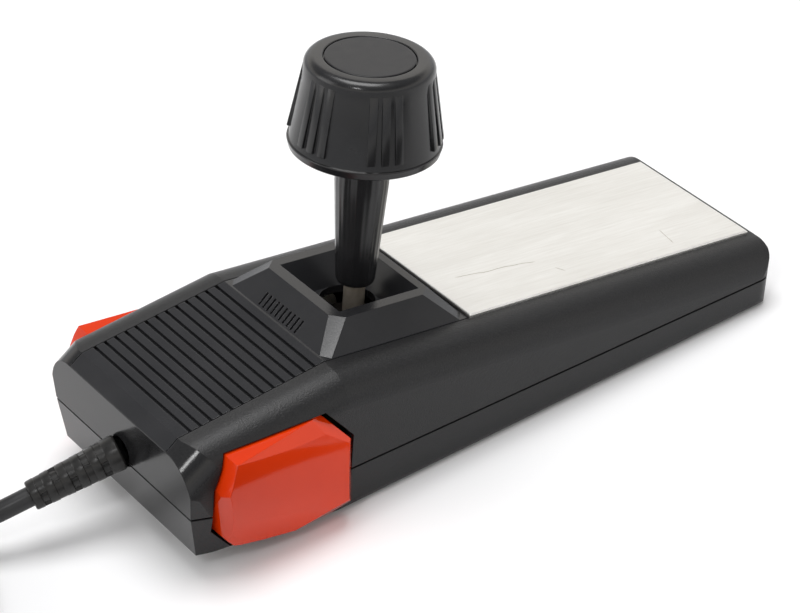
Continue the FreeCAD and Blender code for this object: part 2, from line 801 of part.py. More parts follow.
# Ribbed insert: one moulding with the grooved front panel and the raised collar round the
# stick, whose hollow top leads down to the stick's hole
def box_ring(front, rear, half, height, cut_x=0.0, cut_y=0.0):
    """Closed outline at a height, with cut corners where asked."""
    if cut_x:
        flat = [(-front + cut_x, -half), (rear - cut_x, -half), (rear, -half + cut_y), (rear, half - cut_y),
                (rear - cut_x, half), (-front + cut_x, half), (-front, half - cut_y), (-front, -half + cut_y)]
    else:
        flat = [(-front, -half), (rear, -half), (rear, half), (-front, half)]
    corners = [Vector(x, y, height) for x, y in flat]
    return Part.makePolygon(corners + corners[:1])


def top_insert():
    plate = insert_block(0.0, 0.0, 0.0)
    foot = box_ring(mm("collar_front"), mm("collar_rear"), mm("collar_half_width"), 0.0,
                    mm("collar_foot_cut_x"), mm("collar_foot_cut_y"))
    ridge = box_ring(mm("ridge_front"), mm("ridge_rear"), mm("ridge_half_width"), mm("collar_height"),
                     mm("collar_top_cut_x"), mm("collar_top_cut_y"))
    collar = Part.makeLoft([foot, ridge], True, True)
    plate = plate.fuse(collar)
    offset = mm("stick_hole_offset")
    hole = mm("stick_hole_radius")
    low_ring = box_ring(hole + offset, hole - offset, hole, 0.0)
    high_ring = box_ring(mm("recess_front"), mm("recess_rear"), mm("recess_half_width"), mm("collar_height"))
    plate = plate.cut(Part.makeLoft([low_ring, high_ring], True, True))
    plate = plate.cut(upright(hole, -offset, 0, -mm("insert_thickness") - 1.0, 1.0))
    wall = mm("insert_thickness")
    for side in (-1, 1):
        inner = side * (hole + wall)
        outer = side * (mm("collar_half_width") - 3.4 * wall)
        low, high = sorted((inner, outer))
        pocket = Part.makeBox(mm("collar_front") + mm("collar_rear") - 8 * wall, high - low, wall * 1.2,
                              Vector(-mm("collar_front") + 4 * wall, low, -wall))
        plate = plate.cut(pocket)
    fall = math.radians(mm("panel_angle"))
    along = Vector(-math.cos(fall), 0, -math.sin(fall))
    up = Vector(-math.sin(fall), 0, math.cos(fall))
    width = 2 * mm("insert_half_width") + 2.0
    for index in range(int(mm("groove_count"))):
        distance = mm("first_groove") + index * mm("groove_pitch")
        groove = Part.makeBox(mm("groove_width"), width, 2 * mm("groove_depth"),
                              Vector(-mm("groove_width") / 2, -width / 2, -mm("groove_depth")))
        groove.rotate(Vector(0, 0, 0), Vector(0, 1, 0), -mm("panel_angle"))
        groove.translate(Vector(-mm("kink_front"), 0, 0) + along * distance)
        plate = plate.cut(groove)
    slope = math.atan2(mm("collar_height"), mm("collar_front") - mm("ridge_front"))
    for index in range(int(mm("slot_count"))):
        y = (index - (mm("slot_count") - 1) / 2) * mm("slot_pitch")
        slot = Part.makeBox(mm("slot_length"), mm("slot_width"), 2 * mm("slot_depth"),
                            Vector(0.4, -mm("slot_width") / 2, -mm("slot_depth")))
        slot.rotate(Vector(0, 0, 0), Vector(0, 1, 0), -math.degrees(slope))
        slot.translate(Vector(-mm("collar_front"), y, 0))
        plate = plate.cut(slot)
    return solid_of(plate)


# Palm plate: a sheet of metal bonded into its pocket, with softened upper edges
def grip_plate():
    half = cell("plate_width") / 2
    rear = cell("plate_front") + cell("plate_length")
    under = cell("plate_proud") - cell("plate_thickness")
    body = padded("grip_plate", "XY_Plane",
                  [(cell("plate_front"), -half), (rear, -half), (rear, half), (cell("plate_front"), half)],
                  cell("plate_thickness"), under)
    pad = body.Tip
    names = ["Edge%d" % (index + 1) for index, edge in enumerate(pad.Shape.Edges)
             if abs(edge.BoundBox.ZMax - mm("plate_proud")) < 1e-4
             and abs(edge.BoundBox.ZMin - mm("plate_proud")) < 1e-4]
    soft = body.newObject("PartDesign::Fillet", "grip_plate_edges")
    soft.Base = (pad, names)
    soft.setExpression("Radius", cell("plate_edge_radius").text)
    body.Tip = soft
    return body


def plate_pad():
    margin = cell("pad_margin")
    half = cell("plate_width") / 2 - margin
    front = cell("plate_front") + margin
    rear = cell("plate_front") + cell("plate_length") - margin
    under = cell("plate_proud") - cell("plate_thickness")
    return padded("plate_pad", "XY_Plane", [(front, -half), (rear, -half), (rear, half), (front, half)],
                  cell("pad_thickness"), under - cell("pad_thickness"))


# Stick: a plain rod with a barrel-shaped hub at the pivot, a tapered sleeve and a knob
def stick_stem():
    pivot = -mm("pivot_depth")
    low = pivot - mm("actuator_depth") + mm("actuator_thickness")
    rod = upright(mm("stem_radius"), 0, 0, low, mm("stem_top"))
    hub = Part.makeSphere(mm("hub_radius"), Vector(0, 0, pivot))
    hub = hub.common(upright(2 * mm("hub_radius"), 0, 0, pivot - mm("hub_height") / 2,
                             pivot + mm("hub_height") / 2))
    whole = rod.fuse(hub)
    cross = Part.makeCylinder(mm("pin_radius"), 4 * mm("hub_radius"),
                              Vector(-2 * mm("hub_radius"), 0, pivot), Vector(1, 0, 0))
    whole = whole.cut(cross)
    whole = whole.cut(upright(mm("small_screw_radius"), 0, 0, low - 1.0, low + 4.5))
    whole = whole.cut(upright(mm("small_screw_radius"), 0, 0, mm("stem_top") - 6.0, mm("stem_top") + 1.0))
    return solid_of(whole)


def stick_shaft():
    foot = cell("shaft_foot")
    bore = cell("stem_radius")
    return turned("stick_shaft", [(bore, foot), (cell("shaft_foot_radius") - 1.2, foot),
                                  (cell("shaft_foot_radius") - 0.3, foot + 0.5),
                                  (cell("shaft_foot_radius"), foot + 1.6),
                                  (cell("shaft_waist_radius"), cell("shaft_waist_height")),
                                  (cell("shaft_waist_radius"), cell("shaft_top")),
                                  (bore, cell("shaft_top"))])


def knob():
    foot = mm("knob_foot")
    rim_top = foot + mm("knob_rim_height")
    head = mm("knob_height")
    seat = head - mm("cap_thickness")
    skirt = mm("knob_rim_radius") - mm("knob_wall")
    cone_foot = rim_top + mm("knob_rim_step")
    screw_floor = mm("stem_top") + mm("knob_screw_floor")
    ceiling = mm("shaft_top") + mm("knob_crown_wall")
    outline = [(skirt, foot), (mm("knob_foot_radius"), foot), (mm("knob_rim_radius"), rim_top),
               (mm("knob_foot_radius"), cone_foot), (mm("knob_top_radius"), head - mm("knob_edge_drop")),
               (mm("knob_flat_radius") + mm("knob_crown_width"), head - mm("knob_crown_drop")),
               (mm("knob_flat_radius"), head),
               (mm("cap_radius") + mm("cap_gap"), head), (mm("cap_radius") + mm("cap_gap"), seat),
               (mm("knob_screw_bore_radius"), seat), (mm("knob_screw_bore_radius"), screw_floor),
               (mm("knob_screw_hole_radius"), screw_floor), (mm("knob_screw_hole_radius"), mm("stem_top")),
               (mm("stem_radius"), mm("stem_top")), (mm("stem_radius"), mm("shaft_top")),
               (mm("shaft_waist_radius"), mm("shaft_top")), (mm("shaft_waist_radius"), mm("knob_boss_foot")),
               (mm("knob_boss_radius"), mm("knob_boss_foot")), (mm("knob_boss_radius"), ceiling),
               (mm("knob_top_radius") - mm("knob_wall"), ceiling), (skirt, cone_foot)]
    corners = [Vector(radius, 0, height) for radius, height in outline]
    body = Part.Face(Part.makePolygon(corners + corners[:1])).revolve(Vector(0, 0, 0), Vector(0, 0, 1), 360)
    groups = int(mm("rib_group_count"))
    ribs = []
    for group in range(groups):
        for index in range(int(mm("ribs_in_group"))):
            middle = (mm("ribs_in_group") - 1) / 2
            angle = mm("rib_start_angle") + group * 360.0 / groups + (index - middle) * mm("rib_spacing_angle")
            root = mm("knob_top_radius") - mm("rib_root")
            profile = [(root, mm("rib_foot")), (mm("rib_foot_radius"), mm("rib_foot")),
                       (mm("rib_head_radius"), mm("rib_head")), (root, mm("rib_head"))]
            rib = side_plate(profile, -mm("rib_width") / 2, mm("rib_width") / 2)
            rib.rotate(Vector(0, 0, 0), Vector(0, 0, 1), angle)
            ribs.append(rib)
    return solid_of(body.fuse(ribs))


def knob_cap():
    radius = cell("cap_radius")
    head = cell("knob_height")
    return turned("knob_cap", [(0, head - cell("cap_thickness")), (radius, head - cell("cap_thickness")),
                               (radius, head - 0.15), (radius - 0.15, head), (0, head)])


def turned_screw(label, low, seat_height, head_radius, head_height, radius, direction):
    """One screw on the stick's axis, its head above (1) or below (-1) its seat."""
    head_end = seat_height + head_height * direction
    outline = [(0, low), (radius, low), (radius, seat_height), (head_radius, seat_height),
               (head_radius, head_end), (0, head_end)]
    return turned(label, outline)


def gimbal_ring():
    pivot = -cell("pivot_depth")
    low = pivot - cell("ring_height") / 2
    outer = cylinder("ring_outside", cell("ring_outer_radius"), cell("ring_height"), (0, 0, low))
    inner = cylinder("ring_inside", cell("ring_inner_radius"), cell("ring_height") + 2, (0, 0, low - 1))
    reach = cell("ring_outer_radius") + 2
    along = cylinder("ring_stick_bore", cell("pin_radius") + cell("pin_clearance"), reach * 2,
                     (-reach, 0, pivot), Vector(1, 0, 0))
    across = cylinder("ring_pin_bore", cell("pin_radius"), reach * 2, (0, -reach, pivot), Vector(0, 1, 0))
    return cut("gimbal_ring", outer, fused("ring_holes", inner, along, across))


def gimbal_pins():
    pivot = -mm("pivot_depth")
    start = mm("ring_inner_radius") + 0.2
    reach = mm("post_inner") + mm("post_thickness") - start
    return Part.makeCompound([Part.makeCylinder(mm("pin_radius"), reach, Vector(0, side * start, pivot),
                                                Vector(0, side, 0)) for side in (-1, 1)])


def stick_pin():
    reach = cell("ring_outer_radius") - 0.2
    rod = cylinder("stick_pin_rod", cell("pin_radius"), reach * 2, (-reach, 0, -cell("pivot_depth")),
                   Vector(1, 0, 0))
    doc.recompute()
    pin = doc.addObject("Part::Chamfer", "stick_pin")
    pin.Base = rod
    rims = [index + 1 for index, edge in enumerate(rod.Shape.Edges)
            if abs(edge.BoundBox.XMax - edge.BoundBox.XMin) < 1e-6]
    pin.Edges = [(rim, 0.2, 0.2) for rim in rims]
    return pin


def actuator():
    low = -cell("pivot_depth") - cell("actuator_depth")
    high = low + cell("actuator_thickness")
    reach = cell("actuator_reach")
    half = cell("actuator_arm_width") / 2
    along = block("actuator_long", (-reach, -half, low), (reach, half, high))
    across = block("actuator_cross", (-half, -reach, low), (half, reach, high))
    disc = cylinder("actuator_disc", half * 2, cell("actuator_thickness"), (0, 0, low))
    hole = cylinder("actuator_hole", cell("small_screw_radius"), cell("actuator_thickness") + 2,
                    (0, 0, low - 1))
    return cut("actuator", fused("actuator_star", along, across, disc), hole)


# Works: the bracket that carries the ring, the board with its contacts and switches
def pivot_bracket():
    base_top = board_top + mm("bracket_base")
    length = mm("bracket_half_length")
    width = mm("bracket_half_width")
    base = Part.makeBox(2 * length, 2 * width, mm("bracket_base"), Vector(-length, -width, board_top))
    base = base.cut(upright(mm("bracket_hole_radius"), 0, 0, board_top - 1.0, base_top + 1.0))
    pivot = -mm("pivot_depth")
    for side in (-1, 1):
        low, high = sorted((side * mm("post_inner"), side * (mm("post_inner") + mm("post_thickness"))))
        half = mm("post_half_length")
        post = Part.makeBox(2 * half, high - low, pivot - board_top, Vector(-half, low, board_top))
        eye = Part.makeCylinder(half, high - low, Vector(0, low, pivot), Vector(0, 1, 0))
        base = base.fuse(post.fuse(eye))
    bore = Part.makeCylinder(mm("pin_radius") + mm("pin_clearance"), 4 * width, Vector(0, -2 * width, pivot),
                             Vector(0, 1, 0))
    base = base.cut(bore)
    for x, y in bracket_screw_places:
        base = base.cut(upright(mm("small_screw_radius"), x, y, board_top - 1.0, base_top + 1.0))
    return solid_of(base)


def circuit_board():
    half = board_half_width
    body = padded("circuit_board", "XY_Plane",
                  [(-cell("board_front"), -half), (cell("board_rear"), -half),
                   (cell("board_rear"), half), (-cell("board_front"), half)],
                  cell("board_thickness"), -cell("board_top_depth") - cell("board_thickness"))
    sketch = body.newObject("Sketcher::SketchObject", "circuit_board_holes")
    plane = [item for item in body.Origin.OriginFeatures if item.Role == "XY_Plane"][0]
    sketch.AttachmentSupport = [(plane, "")]
    sketch.MapMode = "FlatFace"
    sketch.setExpression("AttachmentOffset.Base.z", (-cell("board_top_depth")).text)
    rounds = [(term(0), term(0), cell("board_hole_radius"))]
    for across in (-1, 1):
        for x in (-cell("board_screw_front"), cell("board_screw_rear")):
            rounds.append((x, cell("board_screw_y") * across, cell("small_screw_radius")))
        for along in (-1, 1):
            rounds.append((cell("bracket_screw_x") * along, cell("bracket_screw_y") * across,
                           cell("small_screw_radius")))
    for index, (x, y, radius) in enumerate(rounds):
        sketch.addGeometry(Part.Circle(Vector(x.value, y.value, 0), Vector(0, 0, 1), radius.value), False)
        for kind, amount in (("DistanceX", x), ("DistanceY", y)):
            place = sketch.addConstraint(Sketcher.Constraint(kind, index, 3, amount.value))
            sketch.setExpression("Constraints[%d]" % place, amount.text)
        place = sketch.addConstraint(Sketcher.Constraint("Radius", index, radius.value))
        sketch.setExpression("Constraints[%d]" % place, radius.text)
    doc.recompute()
    before = body.Shape.Volume
    holes = body.newObject("PartDesign::Pocket", "circuit_board_pocket")
    holes.Profile = sketch
    holes.Type = "ThroughAll"
    body.Tip = holes
    doc.recompute()
    if not holes.Shape.Volume < before:
        holes.Reversed = True
        doc.recompute()
    return body


def stick_contacts():
    """Four snap domes under the actuator's arms, as one group."""
    height = mm("dome_height")
    radius = mm("dome_radius")
    ball = (radius ** 2 + height ** 2) / (2 * height)
    domes = []
    for turn in range(4):
        angle = math.radians(90 * turn)
        x = mm("dome_circle") * math.cos(angle)
        y = mm("dome_circle") * math.sin(angle)
        dome = Part.makeSphere(ball, Vector(x, y, board_top + height - ball))
        domes.append(dome.common(upright(2 * radius, x, y, board_top, board_top + 2 * height)).Solids[0])
    return Part.makeCompound(domes)


def button_switch(label, side):
    x = -cell("button_stem_x")
    half = cell("switch_length") / 2
    low = -cell("board_top_depth")
    inner = switch_inner * side
    outer = switch_outer * side
    near, far = (inner, outer) if side > 0 else (outer, inner)
    case = block(label + "_case", (x - half, near, low), (x + half, far, low + cell("switch_height")))
    reach = stem_end - cell("button_travel") - cell("clip_thickness") / 4
    plunger = cylinder(label + "_plunger", cell("switch_plunger_radius"), reach - switch_outer + 0.5,
                       (x, (switch_outer - 0.5) * side, -cell("button_stem_depth")),
                       Vector(0, side, 0))
    return fused(label, case, plunger)


def fire_button(side):
    """Cap, bevelled face and the stem that runs inwards through its guide."""
    edge = button_reach.value - mm("button_bevel_depth")
    wide = button_outline(0.0, 0.0)
    narrow = button_outline(mm("button_bevel_side"), mm("button_bevel_height"))
    low, high = sorted((side * button_back.value, side * edge))
    cap = side_plate(wide, low, high)
    rings = []
    for points, y in ((wide, side * edge), (narrow, side * button_reach.value)):
        corners = [Vector(x, y, z) for x, z in points]
        rings.append(Part.makePolygon(corners + corners[:1]))
    bevel = Part.makeLoft(rings, True, True)
    stem = Part.makeCylinder(mm("button_stem_radius"), mm("button_stem_length") + 1.0,
                             Vector(-mm("button_stem_x"), side * stem_end.value,
                                    -mm("button_stem_depth")), Vector(0, side, 0))
    return solid_of(cap.fuse(bevel).fuse(stem))


def button_clip(label, side):
    """Round clip on the stem, just inside the guide, that keeps the button in."""
    outer_face = guide_inner - 0.3
    start = (outer_face - cell("clip_thickness")) * side
    place = (-cell("button_stem_x"), start, -cell("button_stem_depth"))
    disc = cylinder(label + "_disc", cell("clip_radius"), cell("clip_thickness"), place, Vector(0, side, 0))
    hole = cylinder(label + "_hole", cell("button_stem_radius"), cell("clip_thickness"), place,
                    Vector(0, side, 0))
    return cut(label, disc, hole)


def coil_spring(radius, wire, turns, length):
    """A round-wire spring standing on the origin along Z, wound in quarter turns."""
    rise = (length - 2 * wire) / turns
    stops = []
    for quarter in range(int(4 * turns) + 1):
        angle = math.pi / 2 * quarter
        spot = Vector(radius * math.cos(angle), radius * math.sin(angle), wire + rise * quarter / 4)
        heading = Vector(-math.sin(angle), math.cos(angle), rise / (2 * math.pi * radius))
        heading.normalize()
        stops.append((spot, heading))
    edges = []
    for (start, start_heading), (end, end_heading) in zip(stops, stops[1:]):
        edges += biarc(start, start_heading, end, end_heading)
    return tube_along(edges, wire)[0]


def button_spring(side):
    spring = coil_spring(mm("button_spring_radius"), mm("button_spring_wire"),
                         mm("button_spring_turns"), mm("button_spring_room") - 0.1)
    spring.rotate(Vector(0, 0, 0), Vector(1, 0, 0), -90 * side)
    spring.translate(Vector(-mm("button_stem_x"), side * (guide_outer.value + 0.05),
                            -mm("button_stem_depth")))
    return spring


def centring_spring():
    low = -mm("handle_depth") + mm("shell_wall") + mm("spring_seat_height") + 0.05
    high = -mm("pivot_depth") - mm("actuator_depth") - 0.05
    spring = coil_spring(mm("spring_radius"), mm("spring_wire"), mm("spring_turns"), high - low)
    spring.translate(Vector(0, 0, low))
    return spring


# Lead: the moulded relief in the nose wall, the lead's end inside and its wires
def along(direction, shape):
    """Stand a shape that was drawn along Z on the relief's root."""
    shape.Placement = FreeCAD.Placement(relief_root, FreeCAD.Rotation(Vector(0, 0, 1), direction))
    return shape


def strain_relief():
    length = mm("relief_length")
    root = mm("relief_root_radius")
    tip = mm("relief_tip_radius")
    neck = mm("relief_neck_length")
    flange = mm("relief_flange_length")
    anchor = upright(mm("relief_flange_radius"), 0, 0, -neck - flange, -neck)
    anchor = anchor.fuse(upright(mm("relief_neck_radius"), 0, 0, -neck, 0.2))
    collar = mm("relief_collar_length")
    anchor = anchor.fuse(Part.makeCone(root + 0.25, root, collar, Vector(0, 0, 0.1)))
    outline = [(0, 1.2), (root - 0.9, 1.2), (root - 0.1, collar + 0.2), (tip, length - 0.4),
               (tip - 0.4, length), (0, length)]
    corners = [Vector(radius, 0, height) for radius, height in outline]
    body = Part.Face(Part.makePolygon(corners + corners[:1])).revolve(Vector(0, 0, 0), Vector(0, 0, 1), 360)
    for index in range(int(mm("relief_groove_count"))):
        height = length - (index + 1) * mm("relief_groove_pitch")
        ring = upright(2 * root, 0, 0, height, height + mm("relief_groove_width"))
        radius = tip + (root - tip) * (length - height) / length - mm("relief_groove_depth")
        body = body.cut(ring.cut(upright(radius, 0, 0, height - 1.0, height + 3.0)))
    return solid_of(along(nose_out, solid_of(anchor)).fuse(along(relief_out, solid_of(body))))


def inner_lead():
    start = -mm("relief_neck_length") - mm("relief_flange_length")
    return along(nose_out, upright(mm("cord_radius"), 0, 0, start - mm("inner_lead_length"), start))


def wire_header():
    half = cell("header_pitch") * (cell("wire_count") / 2)
    front = cell("header_margin") - cell("board_front")
    rear = front + cell("header_length")
    return padded("wire_header", "XY_Plane", [(front, -half), (rear, -half), (rear, half), (front, half)],
                  cell("header_height"), -cell("board_top_depth"))


def inner_wires():
    """The lead's wires, fanned out from its end to the header."""
    back = -mm("relief_neck_length") - mm("relief_flange_length") - mm("inner_lead_length") - 0.1
    start = relief_root + nose_out * back
    wires = []
    count = int(mm("wire_count"))
    front = mm("header_margin") - mm("board_front") - 0.35
    for index in range(count):
        share = index - (count - 1) / 2
        near = start + Vector(0, share * 0.75 * 1.25, 0)
        far = Vector(front, share * mm("header_pitch"), board_top + mm("header_height") / 2)
        run = far - near
        wires.append(Part.makeCylinder(mm("wire_radius"), run.Length, near, run))
    return Part.makeCompound(wires)


# Lead outside: one free stretch down to the table, a wound coil and a short tail to the plug
lean_turn = FreeCAD.Rotation(Vector(0, 1, 0), mm("rest_angle"))
standing = outer_form.copy()
standing.Placement = FreeCAD.Placement(Vector(0, 0, 0), lean_turn)
span = standing.optimalBoundingBox()
lift = mm("handle_depth") * math.cos(math.radians(mm("rest_angle")))
shift = -(span.XMin + span.XMax) / 2
leaning = FreeCAD.Placement(Vector(shift, 0, lift), lean_turn)
lead_exit = leaning.multVec(relief_root + relief_out * mm("relief_length"))
lead_heading = lean_turn.multVec(relief_out)


def rounded_path(points):
    """Edges of a route: straight runs joined by tangent arcs as large as the runs allow."""
    edges = []
    here = points[0]
    radii = []
    for before, corner, after in zip(points, points[1:], points[2:]):
        into = corner - before
        out = after - corner
        half_turn = into.getAngle(out) / 2
        reach = 0.45 * min(into.Length, out.Length)
        radii.append(reach / math.tan(half_turn))
        into.normalize()
        out.normalize()
        arc_start = corner - into * reach
        arc_end = corner + out * reach
        inward = out - into
        inward.normalize()
        radius = radii[-1]
        centre_distance = radius / math.cos(half_turn)
        middle = corner + inward * (centre_distance - radius)
        edges.append(Part.LineSegment(here, arc_start).toShape())
        edges.append(Part.Arc(arc_start, middle, arc_end).toShape())
        here = arc_end
    edges.append(Part.LineSegment(here, points[-1]).toShape())
    return edges, radii


def tube_along(edges, radius):
    """A round tube swept along edges that join smoothly."""
    path = Part.Wire(edges)
    start = edges[0].valueAt(edges[0].FirstParameter)
    heading = edges[0].tangentAt(edges[0].FirstParameter)
    section = Part.Wire(Part.makeCircle(radius, start, heading))
    return path.makePipeShell([section], True, False), path.Length


def biarc(start, start_heading, end, end_heading):
    """Two arcs that join two points smoothly with the given headings."""
    chord = end - start
    both = start_heading + end_heading
    bend = 2 * (1 - start_heading.dot(end_heading))
    along = chord.dot(both)
    reach = (-along + math.sqrt(along ** 2 + bend * chord.dot(chord))) / bend
    first = start + start_heading * reach
    second = end - end_heading * reach
    joint = (first + second) * 0.5
    return [arc_from(start, start_heading, joint), arc_from(end, end_heading * -1, joint, True)]


def arc_from(start, heading, end, backwards=False):
    """The arc that leaves start along the heading and ends at end."""
    chord = end - start
    normal = heading.cross(chord).cross(heading)
    normal.normalize()
    radius = chord.dot(chord) / (2 * chord.dot(normal))
    centre = start + normal * radius
    outward = (start + end) * 0.5 - centre
    outward.normalize()
    middle = centre + outward * radius
    if backwards:
        return Part.Arc(end, middle, start).toShape()
    return Part.Arc(start, middle, end).toShape()


# The coil lies flat, wound anticlockwise in layers that run inwards and outwards by turns.
# Each climb to the next layer takes half a turn, where the spiral turns back.
coil_centre = Vector(-157.0, 1.5, 0)
coil_start_angle = math.radians(58.0)


def coil_stops():
    """Radius, layer and way (outwards is 1) of the coil at each half turn."""
    radius = mm("coil_radius")
    layers = int(mm("coil_layers"))
    half_turns = int(mm("coil_layer_half_turns"))
    way = -1
    stops = [(radius, 0, way)]
    for layer in range(layers):
        last = layer == layers - 1
        for _ in range(half_turns - 1 if last else half_turns):
            radius += way * mm("coil_pitch") / 2
            stops.append((radius, layer, way))
        if not last:
            way = -way
            stops.append((radius, layer + 1, way))
    return stops


def coil_route():
    """Edges of the coil's line, with a short straight run at each end."""
    places = []
    for half, (radius, layer, way) in enumerate(coil_stops()):
        angle = coil_start_angle + math.pi * half
        drift = way * mm("coil_pitch") / 2 / math.pi
        outward = Vector(math.cos(angle), math.sin(angle), 0)
        onward = Vector(-math.sin(angle), math.cos(angle), 0)
        height = mm("cord_radius") + layer * mm("coil_layer_step")
        heading = onward * radius + outward * drift
        heading.normalize()
        places.append((coil_centre + outward * radius + Vector(0, 0, height), heading))
    lead_in = 2 * mm("cord_radius")
    edges = [Part.LineSegment(places[0][0] - places[0][1] * lead_in, places[0][0]).toShape()]
    for (start, start_heading), (end, end_heading) in zip(places, places[1:]):
        edges += biarc(start, start_heading, end, end_heading)
    edges.append(Part.LineSegment(places[-1][0], places[-1][0] + places[-1][1] * lead_in).toShape())
    return edges


coil_edges = coil_route()
coil_start = coil_edges[0].valueAt(coil_edges[0].FirstParameter)
coil_end = coil_edges[-1].valueAt(coil_edges[-1].LastParameter)


def least_gap(edges, radius):
    """Smallest clear distance between the tube's turns, measured on points."""
    spots = []
    for edge in edges:
        spots += edge.discretize(Number=13)[:-1]
    travelled = [0.0]
    for first, second in zip(spots, spots[1:]):
        travelled.append(travelled[-1] + (second - first).Length)
    least = FAR
    for one in range(len(spots)):
        for other in range(one + 1, len(spots)):
            if travelled[other] - travelled[one] > 12 * radius:
                least = min(least, (spots[other] - spots[one]).Length)
    return least - 2 * radius


# Route of the free stretch, from the relief's tip down to the coil, chosen by hand
lead_points = [lead_exit,
               Vector(-114.843, 6.996, 11.537),
               Vector(-122.3, 12.8, 6.7),
               Vector(-129.1, 19.24, 2.42),
               coil_start]

# Tail from the top of the coil down to the plug, which lies beside the coil
tail_points = [coil_end,
               Vector(-154.75, 32.05, 18.13),
               Vector(-163.7, 36.8, 15.3),
               Vector(-172.7, 41.0, 11.2),
               Vector(-182.5, 41.0, 8.1),
               Vector(-191.2, 36.2, 7.55)]
plug_heading = tail_points[-1] - tail_points[-2]
plug_heading.normalize()


def cord_piece(label, points):
    """A free stretch of the lead, checked against its section and length."""
    edges, radii = rounded_path(points)
    tube, length = tube_along(edges, mm("cord_radius"))
    expected = math.pi * mm("cord_radius") ** 2 * length
    print(label, "length %.1f" % length, "radii", ["%.1f" % radius for radius in radii],
          "volume ratio %.4f" % (tube.Volume / expected))
    return tube


def cord_coil():
    tube, length = tube_along(coil_edges, mm("cord_radius"))
    expected = math.pi * mm("cord_radius") ** 2 * length
    print("cord_coil length %.1f" % length, "volume ratio %.4f" % (tube.Volume / expected),
          "least gap %.2f" % least_gap(coil_edges, mm("cord_radius")))
    return tube


# Plug: a nine-way connector in a moulded hood, drawn along X from the lead's end
def plug_hood():
    neck = mm("hood_neck_length")
    half = mm("hood_width") / 2
    small = mm("hood_neck_width") / 2
    corners = [(0.0, -small), (neck * 0.45, -small), (neck, -half), (mm("hood_length"), -half),
               (mm("hood_length"), half), (neck, half), (neck * 0.45, small), (0.0, small)]
    flat = [Vector(x, y, -mm("hood_thickness") / 2) for x, y in corners]
    hood = Part.Face(Part.makePolygon(flat + flat[:1])).extrude(Vector(0, 0, mm("hood_thickness")))
    rims = [edge for edge in hood.Edges
            if abs(abs(edge.CenterOfMass.z) - mm("hood_thickness") / 2) < 0.01
            and 0.01 < edge.CenterOfMass.x < mm("hood_length") - 0.01]
    return hood.makeFillet(mm("hood_corner_radius"), rims)


def d_outline(width, height, slant, x):
    """The connector's tapered outline at one X."""
    half = width / 2
    up = height / 2
    corners = [Vector(x, -half + slant, -up), Vector(x, half - slant, -up), Vector(x, half, up),
               Vector(x, -half, up)]
    return Part.Face(Part.makePolygon(corners + corners[:1]))


def plug_shell():
    start = mm("hood_length")
    flange = Part.makeBox(mm("plug_flange_thickness"), mm("plug_flange_width"), mm("plug_flange_height"),
                          Vector(start, -mm("plug_flange_width") / 2, -mm("plug_flange_height") / 2))
    nose = d_outline(mm("plug_nose_width"), mm("plug_nose_height"), mm("plug_nose_slant"), start)
    nose = nose.extrude(Vector(mm("plug_flange_thickness") + mm("plug_nose_length"), 0, 0))
    wall = mm("plug_nose_wall")
    inside = d_outline(mm("plug_nose_width") - 2 * wall, mm("plug_nose_height") - 2 * wall,
                       mm("plug_nose_slant"), start - 1.0)
    inside = inside.extrude(Vector(FAR / 8, 0, 0))
    return solid_of(flange.fuse(nose).cut(inside))


def contact_places():
    """Five contacts above four, as Y and Z pairs."""
    places = []
    for count, height in ((5, mm("contact_row_gap") / 2), (4, -mm("contact_row_gap") / 2)):
        for index in range(count):
            places.append(((index - (count - 1) / 2) * mm("contact_pitch"), height))
    return places


def plug_block():
    """Plastic block that fills the metal nose and holds the contacts."""
    wall = mm("plug_nose_wall")
    start = mm("hood_length")
    block_face = d_outline(mm("plug_nose_width") - 2 * wall, mm("plug_nose_height") - 2 * wall,
                           mm("plug_nose_slant"), start)
    body = block_face.extrude(Vector(mm("plug_flange_thickness") + mm("plug_nose_length") - 0.3, 0, 0))
    for y, z in contact_places():
        body = body.cut(Part.makeCylinder(mm("contact_radius"), FAR / 8, Vector(start - 1.0, y, z),
                                          Vector(1, 0, 0)))
    return solid_of(body)


def plug_contacts():
    sleeves = []
    for y, z in contact_places():
        start = Vector(mm("hood_length"), y, z)
        sleeve = Part.makeCylinder(mm("contact_radius"), mm("contact_length"), start, Vector(1, 0, 0))
        bore_start = start + Vector(1.0, 0, 0)
        bore = Part.makeCylinder(mm("contact_bore"), mm("contact_length"), bore_start, Vector(1, 0, 0))
        sleeves.append(sleeve.cut(bore))
    return Part.makeCompound(sleeves)


# Build the pieces of the case, which all lean together
keep_shape("upper_shell", upper_shell())
keep_shape("lower_shell", lower_shell())
keep_shape("top_insert", top_insert())
keep("grip_plate", grip_plate())
keep("plate_pad", plate_pad())
keep_shape("case_screws", case_screws())
keep_shape("stick_stem", stick_stem())
keep("stick_shaft", stick_shaft())
keep_shape("knob", knob())
keep("knob_cap", knob_cap())
keep("knob_screw", turned_screw("knob_screw", cell("stem_top") - 6, cell("stem_top") + 1.8,
                                3.0, 1.6, cell("small_screw_radius"), 1))
keep("gimbal_ring", gimbal_ring())
keep_shape("gimbal_pins", gimbal_pins())
keep("stick_pin", stick_pin())
keep("actuator", actuator())
actuator_low = -cell("pivot_depth") - cell("actuator_depth")
keep("actuator_screw", turned_screw("actuator_screw", actuator_low + 6, actuator_low,
                                    cell("small_screw_head"), cell("small_screw_head_height"),
                                    cell("small_screw_radius"), -1))
keep_shape("pivot_bracket", pivot_bracket())
bracket_top = board_top + mm("bracket_base")
keep_shape("bracket_screws", small_screws(bracket_screw_places, bracket_top,
                                          mm("bracket_base") + mm("board_thickness") + 5.0))
keep("circuit_board", circuit_board())
keep_shape("board_screws", small_screws(board_screw_places, board_top, mm("board_thickness") + 5.0))
keep_shape("stick_contacts", stick_contacts())
keep_shape("centring_spring", centring_spring())
